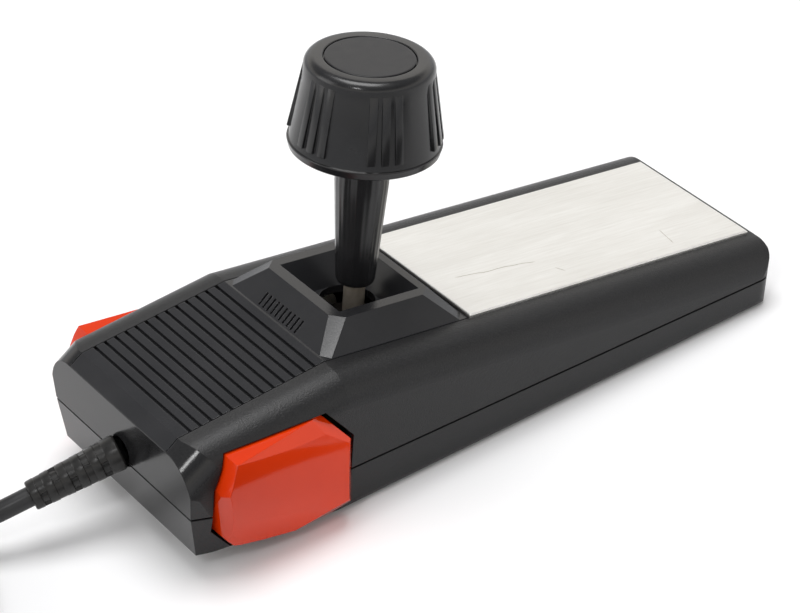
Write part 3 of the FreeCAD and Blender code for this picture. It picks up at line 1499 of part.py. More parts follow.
for name, side in (("left", -1), ("right", 1)):
    keep_shape(name + "_button", fire_button(side))
    keep(name + "_button_clip", button_clip(name + "_button_clip", side))
    keep_shape(name + "_button_spring", button_spring(side))
    keep(name + "_button_switch", button_switch(name + "_button_switch", side))
keep_shape("strain_relief", strain_relief())
keep_shape("inner_lead", inner_lead())
keep("wire_header", wire_header())
keep_shape("inner_wires", inner_wires())
doc.recompute()
for thing in parts.values():
    thing.Placement = leaning.multiply(thing.Placement)

# Build the lead and the plug, which lie on the table
keep_shape("cord_lead", cord_piece("cord_lead", lead_points))
keep_shape("cord_coil", cord_coil())
keep_shape("cord_tail", cord_piece("cord_tail", tail_points))
plug_place = FreeCAD.Placement(Vector(tail_points[-1].x, tail_points[-1].y, mm("hood_thickness") / 2 + 0.05),
                               FreeCAD.Rotation(Vector(1, 0, 0), Vector(plug_heading.x, plug_heading.y, 0)))
for label, shape in (("plug_hood", plug_hood()), ("plug_shell", plug_shell()),
                     ("plug_block", plug_block()), ("plug_contacts", plug_contacts())):
    keep_shape(label, shape).Placement = plug_place
doc.recompute()

# Check every object and write each sub-part
for thing in doc.Objects:
    if "Invalid" in thing.State or "Error" in thing.State:
        raise RuntimeError("%s did not build: %s" % (thing.Label, thing.State))
for label, thing in parts.items():
    if thing.Shape.isNull() or not thing.Shape.isValid():
        raise RuntimeError("%s has no valid shape" % label)
for label, thing in parts.items():
    thing.Shape.exportStep("parts/%s.step" % label)
print("lead exit", lead_exit, "heading", lead_heading)
print("coil start", coil_start, "coil end", coil_end, "shift %.3f lift %.3f" % (shift, lift))
print("written", len(parts))
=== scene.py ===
import json
import math

import bmesh
import bpy
from mathutils import Matrix, Vector


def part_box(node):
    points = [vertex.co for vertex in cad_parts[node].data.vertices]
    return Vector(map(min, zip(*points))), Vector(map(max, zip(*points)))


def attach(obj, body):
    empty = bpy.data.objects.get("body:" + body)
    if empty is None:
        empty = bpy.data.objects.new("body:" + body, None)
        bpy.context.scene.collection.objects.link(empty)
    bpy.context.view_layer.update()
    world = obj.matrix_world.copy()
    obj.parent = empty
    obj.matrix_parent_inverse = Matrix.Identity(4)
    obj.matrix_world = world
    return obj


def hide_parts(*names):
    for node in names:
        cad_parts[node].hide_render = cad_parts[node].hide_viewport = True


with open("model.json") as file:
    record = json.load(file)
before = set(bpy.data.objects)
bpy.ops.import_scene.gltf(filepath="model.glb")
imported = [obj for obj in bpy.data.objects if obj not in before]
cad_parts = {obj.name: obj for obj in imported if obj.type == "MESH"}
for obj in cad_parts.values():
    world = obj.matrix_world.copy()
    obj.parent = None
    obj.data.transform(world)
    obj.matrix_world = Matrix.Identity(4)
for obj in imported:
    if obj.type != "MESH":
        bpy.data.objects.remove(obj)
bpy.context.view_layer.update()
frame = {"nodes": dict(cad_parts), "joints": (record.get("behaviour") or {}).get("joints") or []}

# Camera: a long lens, three quarters of a metre away, looks down on the near front corner of
# the case. It is rolled a little.
camera_data = bpy.data.cameras.new("camera")
camera_data.sensor_fit = "HORIZONTAL"
camera_data.sensor_width = 36.0
camera_data.lens = 138.95
camera_data.clip_end = 50.0
camera = bpy.data.objects.new("camera", camera_data)
camera.location = (-0.33162, -0.5032, 0.4453)
camera.rotation_euler = [math.radians(turn) for turn in (54.745, 3.535, -35.356)]
bpy.context.scene.collection.objects.link(camera)
bpy.context.scene.camera = camera


class Shade:
    """A socket of one material's nodes, which adds and multiplies like a number."""

    def __init__(self, tree, socket=None):
        self.tree = tree
        self.socket = socket

    def node(self, kind, settings=None, values=None, out=0):
        """A node of any kind: its settings first, then values or links for its sockets. Its
        output goes by its name, or by its number where several share a name."""
        made = self.tree.nodes.new(kind)
        for name, value in (settings or {}).items():
            if name == "stops":
                ramp = made.color_ramp
                while len(ramp.elements) < len(value):
                    ramp.elements.new(0.5)
                for element, (place, colour) in zip(ramp.elements, value):
                    element.position = place
                    element.color = (*colour, 1.0)
            else:
                setattr(made, name, value)
        for name, value in (values or {}).items():
            socket = made.inputs[name]
            if isinstance(value, Shade):
                self.tree.links.new(value.socket, socket)
            else:
                socket.default_value = value
        return Shade(self.tree, made.outputs[out])

    def combine(self, operation, *terms):
        """A Math node on terms that are sockets or plain numbers."""
        return self.node("ShaderNodeMath", {"operation": operation}, dict(enumerate(terms)))

    def __add__(self, other):
        return self.combine("ADD", self, other)

    def __sub__(self, other):
        return self.combine("SUBTRACT", self, other)

    def __rsub__(self, other):
        return self.combine("SUBTRACT", other, self)

    def __mul__(self, other):
        return self.combine("MULTIPLY", self, other)

    __radd__ = __add__
    __rmul__ = __mul__

    def clamped(self):
        """The number, held between 0 and 1."""
        settings = {"operation": "ADD", "use_clamp": True}
        return self.node("ShaderNodeMath", settings, {0: self, 1: 0.0})

    def without_sign(self):
        """How far the number lies from zero, to either side."""
        return self.combine("ABSOLUTE", self)

    def between(self, low_colour, high_colour):
        """A colour that goes from one to the other as this number goes from 0 to 1."""
        return self.node("ShaderNodeMix", {"data_type": "RGBA"},
                         {"Factor": self, 6: (*low_colour, 1.0), 7: (*high_colour, 1.0)}, out=2)


def new_material(name, **constants):
    """A material with its even values set, and the start of its nodes."""
    material = bpy.data.materials.new(name)
    material.use_nodes = True
    tree = material.node_tree
    shader = tree.nodes["Principled BSDF"]
    for socket, value in constants.items():
        shader.inputs[socket.replace("_", " ")].default_value = value
    return material, Shade(tree)


def feed(material, socket, value):
    """Link a varying value to a socket of the material's shader."""
    tree = material.node_tree
    tree.links.new(value.socket, tree.nodes["Principled BSDF"].inputs[socket])


def place_on_object(start, stretch=(1.0, 1.0, 1.0)):
    """Object coordinates, stretched for a pattern that runs one way."""
    spot = start.node("ShaderNodeTexCoord", out="Object")
    return start.node("ShaderNodeMapping", None, {"Vector": spot, "Scale": stretch})


def noise(start, spot, scale, detail=2.0, roughness=0.5):
    """Even random variation about one half."""
    values = {"Vector": spot, "Scale": scale, "Detail": detail, "Roughness": roughness}
    return start.node("ShaderNodeTexNoise", None, values)


def raise_surface(material, start, height, distance, strength=1.0, edge=0.0):
    """Bump the surface, and soften its hard edges by the edge radius."""
    values = {"Height": height, "Distance": distance, "Strength": strength}
    if edge:
        values["Normal"] = start.node("ShaderNodeBevel", {"samples": 6}, {"Radius": edge})
    feed(material, "Normal", start.node("ShaderNodeBump", None, values))


# Lead: a smooth black jacket over nine thin wires. It leaves the relief, falls to the table,
# and is wound away in four flat layers of turns before its short tail to the plug.
MM = 0.001
cord_radius = 2.4 * MM
lead_route = [(-106.318, 5.010, 13.630), (-114.843, 6.996, 11.537), (-122.3, 12.8, 6.7),
              (-129.1, 19.24, 2.42)]
tail_route = [(-154.75, 32.05, 18.13), (-163.7, 36.8, 15.3), (-172.7, 41.0, 11.2),
              (-182.5, 41.0, 8.1), (-191.2, 36.2, 7.55)]
coil_centre = (-157.0, 1.5)
coil_radius = 29.4
coil_pitch = 5.5
coil_start = 58.0
coil_foot = cord_radius / MM
coil_layers = 4
layer_step = 5.25
layer_half_turns = 3
points_per_half_turn = 8

coil_stops = [(coil_radius, 0)]
for layer in range(coil_layers):
    top_layer = layer == coil_layers - 1
    way = 1 if layer % 2 else -1
    for _ in range(layer_half_turns - 1 if top_layer else layer_half_turns):
        coil_stops.append((coil_stops[-1][0] + way * coil_pitch / 2, layer))
    if not top_layer:
        coil_stops.append((coil_stops[-1][0], layer + 1))
# The curve runs a little inside its points, so they stand out from the turns to make up for it.
stand_out = (1.0 + 1.0 / math.cos(math.pi / points_per_half_turn / 2) ** 2) / 2
coil_route = []
for half, (near, far) in enumerate(zip(coil_stops, coil_stops[1:])):
    for step in range(points_per_half_turn):
        share = step / points_per_half_turn
        angle = math.radians(coil_start) + math.pi * (half + share)
        radius = (near[0] + (far[0] - near[0]) * share) * stand_out
        climb = near[1] + (far[1] - near[1]) * share * share * (3.0 - 2.0 * share)
        coil_route.append((coil_centre[0] + radius * math.cos(angle),
                           coil_centre[1] + radius * math.sin(angle),
                           coil_foot + layer_step * climb))
last_angle = math.radians(coil_start + 180.0 * (len(coil_stops) - 1))
coil_route.append((coil_centre[0] + coil_stops[-1][0] * math.cos(last_angle),
                   coil_centre[1] + coil_stops[-1][0] * math.sin(last_angle),
                   coil_foot + layer_step * coil_stops[-1][1]))
route = lead_route + coil_route + tail_route
curve = bpy.data.curves.new("lead", "CURVE")
curve.dimensions = "3D"
curve.bevel_depth = cord_radius
curve.bevel_resolution = 6
curve.resolution_u = 6
curve.use_fill_caps = True
spline = curve.splines.new("NURBS")
spline.points.add(len(route) - 1)
for point, spot in zip(spline.points, route):
    point.co = (*[value * MM for value in spot], 1.0)
spline.order_u = 3
spline.use_endpoint_u = True
lead = bpy.data.objects.new("lead", curve)
bpy.context.scene.collection.objects.link(lead)
jacket, start = new_material("jacket", Specular_IOR_Level=0.4)
spot = place_on_object(start)
smudge = noise(start, spot, 220.0, 3.0)
feed(jacket, "Base Color", smudge.between((0.010, 0.010, 0.011), (0.022, 0.022, 0.023)))
feed(jacket, "Roughness", smudge * 0.22 + 0.26)
raise_surface(jacket, start, noise(start, spot, 1800.0), 0.02 * MM, strength=0.35)
curve.materials.append(jacket)
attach(lead, "root")
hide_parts("cord_lead", "cord_coil", "cord_tail")

# Case axes: the stick stands square to the top face, which leans forward from the table.
# Pieces that follow the case are shaped in these axes, in millimetres, and then laid in place.
joints = {joint["name"]: joint for joint in frame["joints"]}
pivot = Vector(joints["stick_side"]["pos_m"])
back = Vector(joints["stick_side"]["axis"])
right = Vector(joints["stick_fore_aft"]["axis"])
upward = back.cross(right)
pivot_depth = 8.5 * MM
top_centre = pivot + upward * pivot_depth
case_axes = Matrix.Translation(top_centre) @ Matrix((back, right, upward)).transposed().to_4x4()


def lay(piece, axes, smooth=35.0):
    """Put a piece's shape in its place, with its object at the origin, and smooth its faces."""
    bpy.ops.object.select_all(action="DESELECT")
    bpy.context.view_layer.objects.active = piece
    piece.select_set(True)
    piece.matrix_world = axes @ Matrix.Scale(MM, 4)
    bpy.ops.object.transform_apply(location=True, rotation=True, scale=True)
    bpy.ops.object.shade_smooth_by_angle(angle=math.radians(smooth))


# A ring that closes on the axis keeps this radius until its doubles are merged.
least_radius = 1e-4


def turned(name, rings, sides=96):
    """A turned piece: a ring of points drawn out from one radius and height to the next."""
    bpy.ops.object.select_all(action="DESELECT")
    radius, height = rings[0][:2]
    radius = max(radius, least_radius)
    bpy.ops.mesh.primitive_circle_add(vertices=sides, radius=radius, location=(0, 0, height))
    piece = bpy.context.object
    piece.name = name
    bpy.ops.object.transform_apply(location=True, rotation=True, scale=True)
    bpy.ops.object.mode_set(mode="EDIT")
    bpy.ops.mesh.select_all(action="SELECT")
    for ring in rings[1:]:
        bpy.ops.mesh.extrude_region_move()
        shape_ring(piece, *ring)
    bpy.ops.mesh.select_all(action="SELECT")
    bpy.ops.mesh.remove_doubles(threshold=0.001)
    bpy.ops.mesh.normals_make_consistent(inside=False)
    bpy.ops.object.mode_set(mode="OBJECT")
    return piece


def shape_ring(piece, radius, height, profile=None):
    """Move the selected ring to a radius and height. A profile gives the radius by angle."""
    mesh = bmesh.from_edit_mesh(piece.data)
    for vertex in mesh.verts:
        if vertex.select:
            angle = math.atan2(vertex.co.y, vertex.co.x)
            reach = max(profile(angle, radius) if profile else radius, least_radius)
            vertex.co = (reach * math.cos(angle), reach * math.sin(angle), height)
    bmesh.update_edit_mesh(piece.data)


def arc(centre, radius, first, last, steps):
    """Points on an arc in the radius and height plane, by angle in degrees."""
    turns = [math.radians(first + (last - first) * step / steps) for step in range(steps + 1)]
    return [(centre[0] + radius * math.cos(turn), centre[1] + radius * math.sin(turn))
            for turn in turns]


def join_to(piece, others):
    """Join parts to the piece they belong to."""
    bpy.ops.object.select_all(action="DESELECT")
    for other in others:
        other.select_set(True)
    piece.select_set(True)
    bpy.context.view_layer.objects.active = piece
    bpy.ops.object.join()


# Strain relief: a soft black moulding over the lead, necked at the nose and thinner towards
# its tip. Windows cut from alternate sides let it flex, and leave bridges between its ribs.
relief_root = Vector((-62.75, 0.0, -22.9)) * MM
relief_tip = Vector(lead_route[0]) * MM
relief_length = 22.7
relief_radii = (4.3, 3.55)
slot_pitch = 3.8
slot_width = 1.6
slot_depth = 0.75
slot_count = 5
edge_drop = 0.12
edge_run = 0.2
wall_lean = 0.02
hairline_depth = 0.08
window_turn = math.radians(-51)
window_step = math.radians(45)
window_half_angle = math.radians(36)
tip_bore = 2.3


def relief_radius(height):
    """Outer radius of the relief at a height above its root."""
    return relief_radii[0] + (relief_radii[1] - relief_radii[0]) * height / relief_length


def windowed(middle):
    """A slot's floor: deep in two windows on opposite sides, and a hairline between them."""
    def profile(angle, radius):
        turn = (angle - middle + math.pi / 2) % math.pi - math.pi / 2
        if abs(turn) < window_half_angle:
            return radius
        return radius + slot_depth - hairline_depth
    return profile


relief_rings = [(2.0, 0.2), (relief_radii[0] - 0.3, 0.2), (relief_radii[0], 0.6)]
for index in reversed(range(slot_count)):
    low = relief_length - (index + 1) * slot_pitch
    high = low + slot_width
    shape = windowed(window_turn + (window_step if index % 2 else -window_step))
    wide, narrow = relief_radius(low), relief_radius(high)
    relief_rings += [(wide, low - edge_run), (wide - edge_drop, low),
                     (wide - slot_depth, low + wall_lean, shape),
                     (narrow - slot_depth, high - wall_lean, shape),
                     (narrow - edge_drop, high), (narrow, high + edge_run)]
relief_rings += [(relief_radii[1], relief_length - 0.5),
                 (relief_radii[1] - 0.15, relief_length - 0.12),
                 (relief_radii[1] - 0.5, relief_length), (tip_bore, relief_length),
                 (tip_bore, relief_length - 3.0)]
relief = turned("lead_relief", relief_rings, sides=72)
relief_start = case_axes @ relief_root
relief_aim = relief_tip - relief_start
relief_turn = relief_aim.to_track_quat("Z", "X").to_matrix().to_4x4()
lay(relief, Matrix.Translation(relief_start) @ relief_turn, smooth=30.0)
soft_black, start = new_material("soft_black", Specular_IOR_Level=0.33)
spot = place_on_object(start)
handling = noise(start, spot, 300.0, 4.0)
feed(soft_black, "Base Color", handling.between((0.008, 0.008, 0.008), (0.020, 0.019, 0.018)))
feed(soft_black, "Roughness", handling * 0.24 + 0.2)
pores = noise(start, spot, 2400.0)
raise_surface(soft_black, start, pores, 0.03 * MM, strength=0.4, edge=0.1 * MM)
relief.data.materials.append(soft_black)
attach(relief, "root")
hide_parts("strain_relief")

# Case shells: black plastic off a spark-eroded mould, so every side is finely grained. The
# nose and its two corner cuts were polished, and mirror the table and the relief.
grained_black, start = new_material("grained_black", Specular_IOR_Level=0.31)
spot = place_on_object(start)
normal = start.node("ShaderNodeTexCoord", out="Normal")
facing_back = start.node("ShaderNodeSeparateXYZ", None, {"Vector": normal})
polish_from = 0.14
polish_rate = 9.0
polished = ((facing_back * -1.0 - polish_from) * polish_rate).clamped()
grain = noise(start, spot, 3000.0, 2.0, 0.6)
mottle = noise(start, spot, 90.0, 4.0)
feed(grained_black, "Base Color", grain.between((0.007, 0.007, 0.0075), (0.021, 0.021, 0.022)))
rough = grain * 0.20 + mottle * 0.10 + 0.20
feed(grained_black, "Roughness", rough - polished * 0.20)
kept_grain = grain * (1.0 - polished * 0.96)
raise_surface(grained_black, start, kept_grain, 0.13 * MM, strength=0.8, edge=0.3 * MM)


def dress(material, *names):
    """Give CAD nodes a material in place of their plain colour."""
    for name in names:
        mesh = frame["nodes"][name].data
        mesh.materials.clear()
        mesh.materials.append(material)


dress(grained_black, "upper_shell", "lower_shell")

# Ribbed insert: one satin black plastic moulding, smoother than the shells round it. It sits
# in the upper shell, and its raised collar frames the stick's window.
satin_black, start = new_material("satin_black", Specular_IOR_Level=0.42)
spot = place_on_object(start)
fine = noise(start, spot, 2600.0, 2.0)
dust = noise(start, spot, 60.0, 5.0, 0.6)
feed(satin_black, "Base Color", dust.between((0.012, 0.0125, 0.014), (0.022, 0.022, 0.024)))
feed(satin_black, "Roughness", fine * 0.12 + dust * 0.12 + 0.09)
raise_surface(satin_black, start, fine, 0.03 * MM, strength=0.4, edge=0.18 * MM)
dress(satin_black, "top_insert")

# Palm plate: thin aluminium sheet, brushed along its length and stuck down on a foam pad. Use
# has left a few scratches on it.
brushed_metal, start = new_material("brushed_metal", Metallic=1.0)
spot = place_on_object(start)
lengthwise = start.node("ShaderNodeSeparateXYZ", None, {"Vector": spot}, out="X")
sideways = start.node("ShaderNodeSeparateXYZ", None, {"Vector": spot}, out="Y")
brush = noise(start, place_on_object(start, (70.0, 1500.0, 0.0)), 1.0, 5.0, 0.7)
haze = noise(start, place_on_object(start, (22.0, 90.0, 0.0)), 1.0, 4.0, 0.6)
sway = 1.2 * MM
wander = noise(start, place_on_object(start, (90.0, 90.0, 0.0)), 1.0, 4.0) * (2.0 * sway)


def scratch(middle_x, middle_y, half_length, turn, width):
    """A hairline that wanders a little and fades at its ends, in millimetres and degrees."""
    run, rise = math.cos(math.radians(turn)), math.sin(math.radians(turn))
    from_x = lengthwise - middle_x * MM
    from_y = sideways - middle_y * MM
    along = from_x * run + from_y * rise
    across = from_y * run - from_x * rise + wander - sway
    line = (1.0 - across.without_sign() * (1.0 / (width * MM))).clamped()
    return line * ((half_length * MM - along.without_sign()) * (1.0 / MM)).clamped()


scratches = (scratch(17.0, -6.4, 11.0, -8.0, 0.22) + scratch(63.6, -13.5, 3.6, 80.0, 0.18)
             + scratch(30.7, -14.0, 1.6, 120.0, 0.2))
tone = (brush * 0.5 + haze * 0.4 + 0.3 - scratches * 0.9).clamped()
feed(brushed_metal, "Base Color", tone.between((0.50, 0.47, 0.41), (1.0, 1.0, 0.98)))
feed(brushed_metal, "Roughness", brush * 0.20 + 0.30)
raise_surface(brushed_metal, start, brush - scratches, 0.03 * MM, strength=0.5, edge=0.3 * MM)
dress(brushed_metal, "grip_plate")

# Stick sleeve: a tapered black plastic moulding with fine lengthwise flutes. It is slipped over
# the steel stem, and its head goes up inside the knob.
polished_black, start = new_material("polished_black", Specular_IOR_Level=0.4)
spot = place_on_object(start)
prints = noise(start, spot, 130.0, 4.0, 0.6)
specks = noise(start, spot, 900.0, 1.0)
feed(polished_black, "Base Color", prints.between((0.007, 0.007, 0.0075), (0.014, 0.014, 0.015)))
feed(polished_black, "Roughness", prints * 0.20 + 0.12)
raise_surface(polished_black, start, specks, 0.02 * MM, strength=0.3, edge=0.2 * MM)
flute_count = 24
flute_depth = 0.04
taper_foot = (4.72, 6.6)
taper_head = (6.3, 31.0)
taper_steps = 8


def fluted(angle, radius):
    """The sleeve's outline, with a shallow flute every few degrees."""
    return radius + flute_depth * math.cos(flute_count * angle)


sleeve_rings = [(2.6, 4.9), (3.5, 4.5), (4.3, 4.9), (4.62, 5.6), taper_foot]
for step in range(1, taper_steps + 1):
    radius, height = [low + (high - low) * step / taper_steps
                      for low, high in zip(taper_foot, taper_head)]
    sleeve_rings.append((radius, height, fluted))
sleeve_rings += [(6.3, 44.0, fluted), (6.3, 53.9), (2.6, 53.9)]
sleeve = turned("stick_sleeve", sleeve_rings, sides=144)
lay(sleeve, case_axes)
sleeve.data.materials.append(polished_black)
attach(sleeve, "stick")
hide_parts("stick_shaft")

# Knob: a hollow black plastic bell with a broad soft shoulder, a rim band and six groups of
# three ribs for the fingers. A screw under its cap holds it on the stem.
knob_foot = 39.9
knob_head = 62.2
disc_seat = knob_head - 1.2
knob_rings = [(2.6, 57.0), (2.6, 54.05), (6.3, 54.0), (6.35, 44.0), (8.4, 44.0), (8.4, 55.6),
              (12.0, 55.6), (15.2, 42.4), (15.6, knob_foot + 0.3), (15.9, knob_foot),
              (17.2, knob_foot), (17.5, knob_foot + 0.25), (17.9, 41.7), (17.8, 41.95),
              (17.50, 42.05), (17.40, 42.4), (16.1, 50.9), (15.12, 57.4)]
knob_rings += arc((12.75, 59.9), 2.3, 0.0, 90.0, 8)[1:]
knob_rings += [(10.9, knob_head), (10.72, knob_head - 0.15), (10.7, knob_head - 0.9),
               (3.4, disc_seat), (3.4, 58.8), (1.7, 58.8), (1.7, 57.0)]
knob = turned("ribbed_knob", knob_rings, sides=144)
rib_size = (2.4, 1.95, 16.1)
rib_bevel = 0.22
rib_middle = (15.34, 0, 51.3)
rib_lean = Matrix.Rotation(math.radians(-10.2), 4, "Y")
first_group = 10.0
group_step = 60.0
rib_step = 10.8


def copy_of(piece):
    """A copy of a piece, with a mesh of its own."""
    copy = piece.copy()
    copy.data = piece.data.copy()
    bpy.context.scene.collection.objects.link(copy)
    return copy


bpy.ops.object.select_all(action="DESELECT")
bpy.ops.mesh.primitive_cube_add(size=1.0, location=(0, 0, 0))
rib = bpy.context.object
rib.scale = rib_size
bpy.ops.object.transform_apply(location=True, rotation=True, scale=True)
bevel = rib.modifiers.new("round", "BEVEL")
bevel.width = rib_bevel
bevel.segments = 2
bpy.ops.object.modifier_apply(modifier="round")
rib_turns = [first_group + group_step * group + rib_step * place
             for group in range(6) for place in (-1, 0, 1)]
ribs = [rib] + [copy_of(rib) for _ in rib_turns[1:]]
for rib, rib_turn in zip(ribs, rib_turns):
    around = Matrix.Rotation(math.radians(rib_turn), 4, "Z")
    rib.matrix_world = around @ Matrix.Translation(rib_middle) @ rib_lean
join_to(knob, ribs)
lay(knob, case_axes)
knob.data.materials.append(polished_black)
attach(knob, "stick")
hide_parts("knob")

# Knob cap: a thin black plastic disc, pressed into the knob's top over its screw. Its top is
# duller than the knob, and level with the shoulder round it.
disc_rings = [(0.0, disc_seat), (10.4, disc_seat), (10.4, knob_head - 0.15),
              (10.3, knob_head - 0.04), (10.15, knob_head), (9.9, knob_head), (0.0, knob_head)]
cap = turned("knob_disc", disc_rings)
lay(cap, case_axes)
disc_black, start = new_material("disc_black", Specular_IOR_Level=0.24)
rubbed = noise(start, place_on_object(start), 400.0, 4.0)
feed(disc_black, "Base Color", rubbed.between((0.009, 0.009, 0.010), (0.016, 0.016, 0.018)))
feed(disc_black, "Roughness", rubbed * 0.2 + 0.22)
cap.data.materials.append(disc_black)
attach(cap, "stick")
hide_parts("knob_cap")

# Fire buttons: glossy orange plastic caps with eight sides, a bevelled rim and a pillowed face.
# Each is moulded in one piece with the stem that reaches into the case.
orange, start = new_material("orange", Specular_IOR_Level=0.37)
spot = place_on_object(start)
flow = noise(start, spot, 70.0, 3.0)
peel = noise(start, spot, 700.0, 2.0)
feed(orange, "Base Color", flow.between((0.58, 0.028, 0.001), (0.66, 0.037, 0.001)))
feed(orange, "Roughness", flow * 0.06 + 0.06)
raise_surface(orange, start, peel, 0.008 * MM, strength=0.25, edge=0.25 * MM)


def cut_off(piece, point, normal):
    """Cut a closed piece along a plane, drop what lies past it, and close the cut."""
    bpy.ops.object.mode_set(mode="EDIT")
    bpy.ops.mesh.select_all(action="SELECT")
    way = normal.normalized()
    bpy.ops.mesh.bisect(plane_co=point, plane_no=way, use_fill=True, clear_outer=True)
    bpy.ops.object.mode_set(mode="OBJECT")


# The cap's outline, in millimetres back and up from the stick's place on the top face. Each
# plane of its rim goes through two points of the face and one foot, whose last number is how
# far out from the middle of the case it lies.
cap_outline = [(-56.8, -28.8), (-51.6, -34.1), (-25.0, -34.1), (-21.3, -31.2), (-21.3, -15.0),
               (-29.1, -7.2), (-53.9, -10.3), (-56.8, -18.1)]
rim_cuts = [((-54.2, -10.3), (-29.3, -10.7), (-29.1, -7.2, 29.9)),
            ((-29.3, -10.7), (-23.1, -14.4), (-25.2, -11.1, 31.0)),
            ((-54.2, -10.3), (-56.0, -17.3), (-56.8, -18.1, 31.9)),
            ((-56.0, -17.3), (-53.9, -28.9), (-56.8, -20.0, 31.9)),
            ((-53.9, -28.9), (-53.1, -29.7), (-54.2, -31.5, 31.9)),
            ((-53.7, -29.5), (-27.3, -29.7), (-51.6, -34.1, 31.9)),
            ((-27.3, -29.7), (-23.6, -28.6), (-23.1, -32.6, 31.9)),
            ((-23.6, -28.6), (-23.1, -14.4), (-21.3, -20.0, 31.9))]
cap_middle = (-39.0, -20.6)
cap_back = 27.9
blank_size = (44.0, 34.0, 1.0)
blank_depth = 20.0
crown_peak = (-26.2, -24.8)
crown_height = 35.66
crown_radii = (397.0, 29.6)
crown_twist = 0.008
stem_middle = (0.0, 3.1, 24.4)
stem_radius = 2.5
stem_length = 9.0


def crown(x, z):
    """A point of the cap's pillowed face, seen from outside about the cap's middle."""
    along = x - crown_peak[0]
    up = z - crown_peak[1]
    fall = along ** 2 / (2 * crown_radii[0]) + up ** 2 / (2 * crown_radii[1])
    fall += crown_twist * along * up
    return Vector((x - cap_middle[0], z - cap_middle[1], crown_height - fall))


bpy.ops.object.select_all(action="DESELECT")
bpy.ops.mesh.primitive_grid_add(x_subdivisions=48, y_subdivisions=36, size=1.0)
near_cap = bpy.context.object
near_cap.scale = blank_size
bpy.ops.object.transform_apply(location=True, rotation=True, scale=True)
for vertex in near_cap.data.vertices:
    vertex.co = crown(vertex.co.x + cap_middle[0], vertex.co.y + cap_middle[1])
bpy.ops.object.mode_set(mode="EDIT")
bpy.ops.mesh.select_all(action="SELECT")
bpy.ops.mesh.extrude_region_move(TRANSFORM_OT_translate={"value": (0, 0, -blank_depth)})
bpy.ops.object.mode_set(mode="OBJECT")
cut_off(near_cap, (0, 0, cap_back), Vector((0, 0, -1)))
for near, far in zip(cap_outline, cap_outline[1:] + cap_outline[:1]):
    run = crown(*far) - crown(*near)
    cut_off(near_cap, crown(*near), Vector((run.y, -run.x, 0)))
for first, second, foot in rim_cuts:
    start_point = crown(*first)
    foot_point = crown(*foot[:2])
    foot_point.z = foot[2]
    across = (crown(*second) - start_point).cross(foot_point - start_point)
    cut_off(near_cap, start_point, across * math.copysign(1.0, across.z))
bpy.ops.object.select_all(action="DESELECT")
bpy.ops.mesh.primitive_cylinder_add(vertices=48, radius=stem_radius, depth=stem_length,
                                    location=stem_middle)
join_to(near_cap, [bpy.context.object])
far_cap = copy_of(near_cap)
for cap, name, body in ((near_cap, "left_button", "left_fire"),
                        (far_cap, "right_button", "right_fire")):
    cap.name = name + "_cap"
    low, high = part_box(name)
    side = math.copysign(1.0, low[1] + high[1])
    middle = top_centre + (back * cap_middle[0] + upward * cap_middle[1]) * MM
    cap_axes = Matrix((back, upward, right * side)).transposed().to_4x4()
    lay(cap, Matrix.Translation(middle) @ cap_axes, smooth=12.0)
    bpy.ops.object.mode_set(mode="EDIT")
    bpy.ops.mesh.select_all(action="SELECT")
    bpy.ops.mesh.normals_make_consistent(inside=False)
    bpy.ops.object.mode_set(mode="OBJECT")
    cap.data.materials.append(orange)
    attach(cap, body)
    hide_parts(name)

# Stick works: a steel stem, dulled by wear, swings in a dark gimbal ring on turned steel pins
# between pale moulded posts, and a coil spring under it stands it upright again.


def worn(name, dark, light, roughness, metallic=0.0, grain=300.0):
    """A plain finish that varies a little in colour and gloss, with its edges just broken."""
    material, start = new_material(name, Metallic=metallic)
    pattern = noise(start, place_on_object(start), grain, 4.0)
    feed(material, "Base Color", pattern.between(dark, light))
    feed(material, "Roughness", pattern * 0.2 + roughness)
    raise_surface(material, start, pattern, 0.01 * MM, strength=0.3, edge=0.1 * MM)
    return material


dulled_steel = worn("dulled_steel", (0.17, 0.145, 0.115), (0.30, 0.265, 0.22), 0.45,
                    metallic=0.2, grain=700.0)
dress(dulled_steel, "stick_stem")
bright_steel = worn("bright_steel", (0.50, 0.51, 0.53), (0.66, 0.67, 0.69), 0.2,
                    metallic=1.0, grain=900.0)
dress(bright_steel, "stick_pin", "gimbal_pins", "left_button_clip", "right_button_clip")
spring_steel = worn("spring_steel", (0.30, 0.31, 0.33), (0.45, 0.46, 0.48), 0.24,
                    metallic=1.0, grain=1500.0)
dress(spring_steel, "centring_spring", "left_button_spring", "right_button_spring")
pale_plastic = worn("pale_plastic", (0.62, 0.59, 0.50), (0.72, 0.69, 0.60), 0.35)
dress(pale_plastic, "pivot_bracket", "actuator")
ring_plastic = worn("ring_plastic", (0.030, 0.026, 0.022), (0.060, 0.052, 0.045), 0.4,
                    grain=1200.0)
dress(ring_plastic, "gimbal_ring")

# Switches and board: a green laminate carries the black switches, brass leaf contacts and the
# header, where the lead's nine red wires end.
green_laminate = worn("green_laminate", (0.020, 0.120, 0.045), (0.035, 0.170, 0.070), 0.25,
                      grain=500.0)
dress(green_laminate, "circuit_board")
switch_black = worn("switch_black", (0.012, 0.013, 0.014), (0.020, 0.021, 0.023), 0.35)
dress(switch_black, "left_button_switch", "right_button_switch")
brass = worn("brass", (0.52, 0.32, 0.06), (0.68, 0.45, 0.12), 0.2, metallic=1.0, grain=700.0)
dress(brass, "stick_contacts", "plug_contacts")
header_plastic = worn("header_plastic", (0.60, 0.57, 0.48), (0.70, 0.67, 0.58), 0.4)
dress(header_plastic, "wire_header")
wire_red = worn("wire_red", (0.40, 0.030, 0.018), (0.50, 0.050, 0.028), 0.35)
dress(wire_red, "inner_wires")
dress(jacket, "inner_lead")

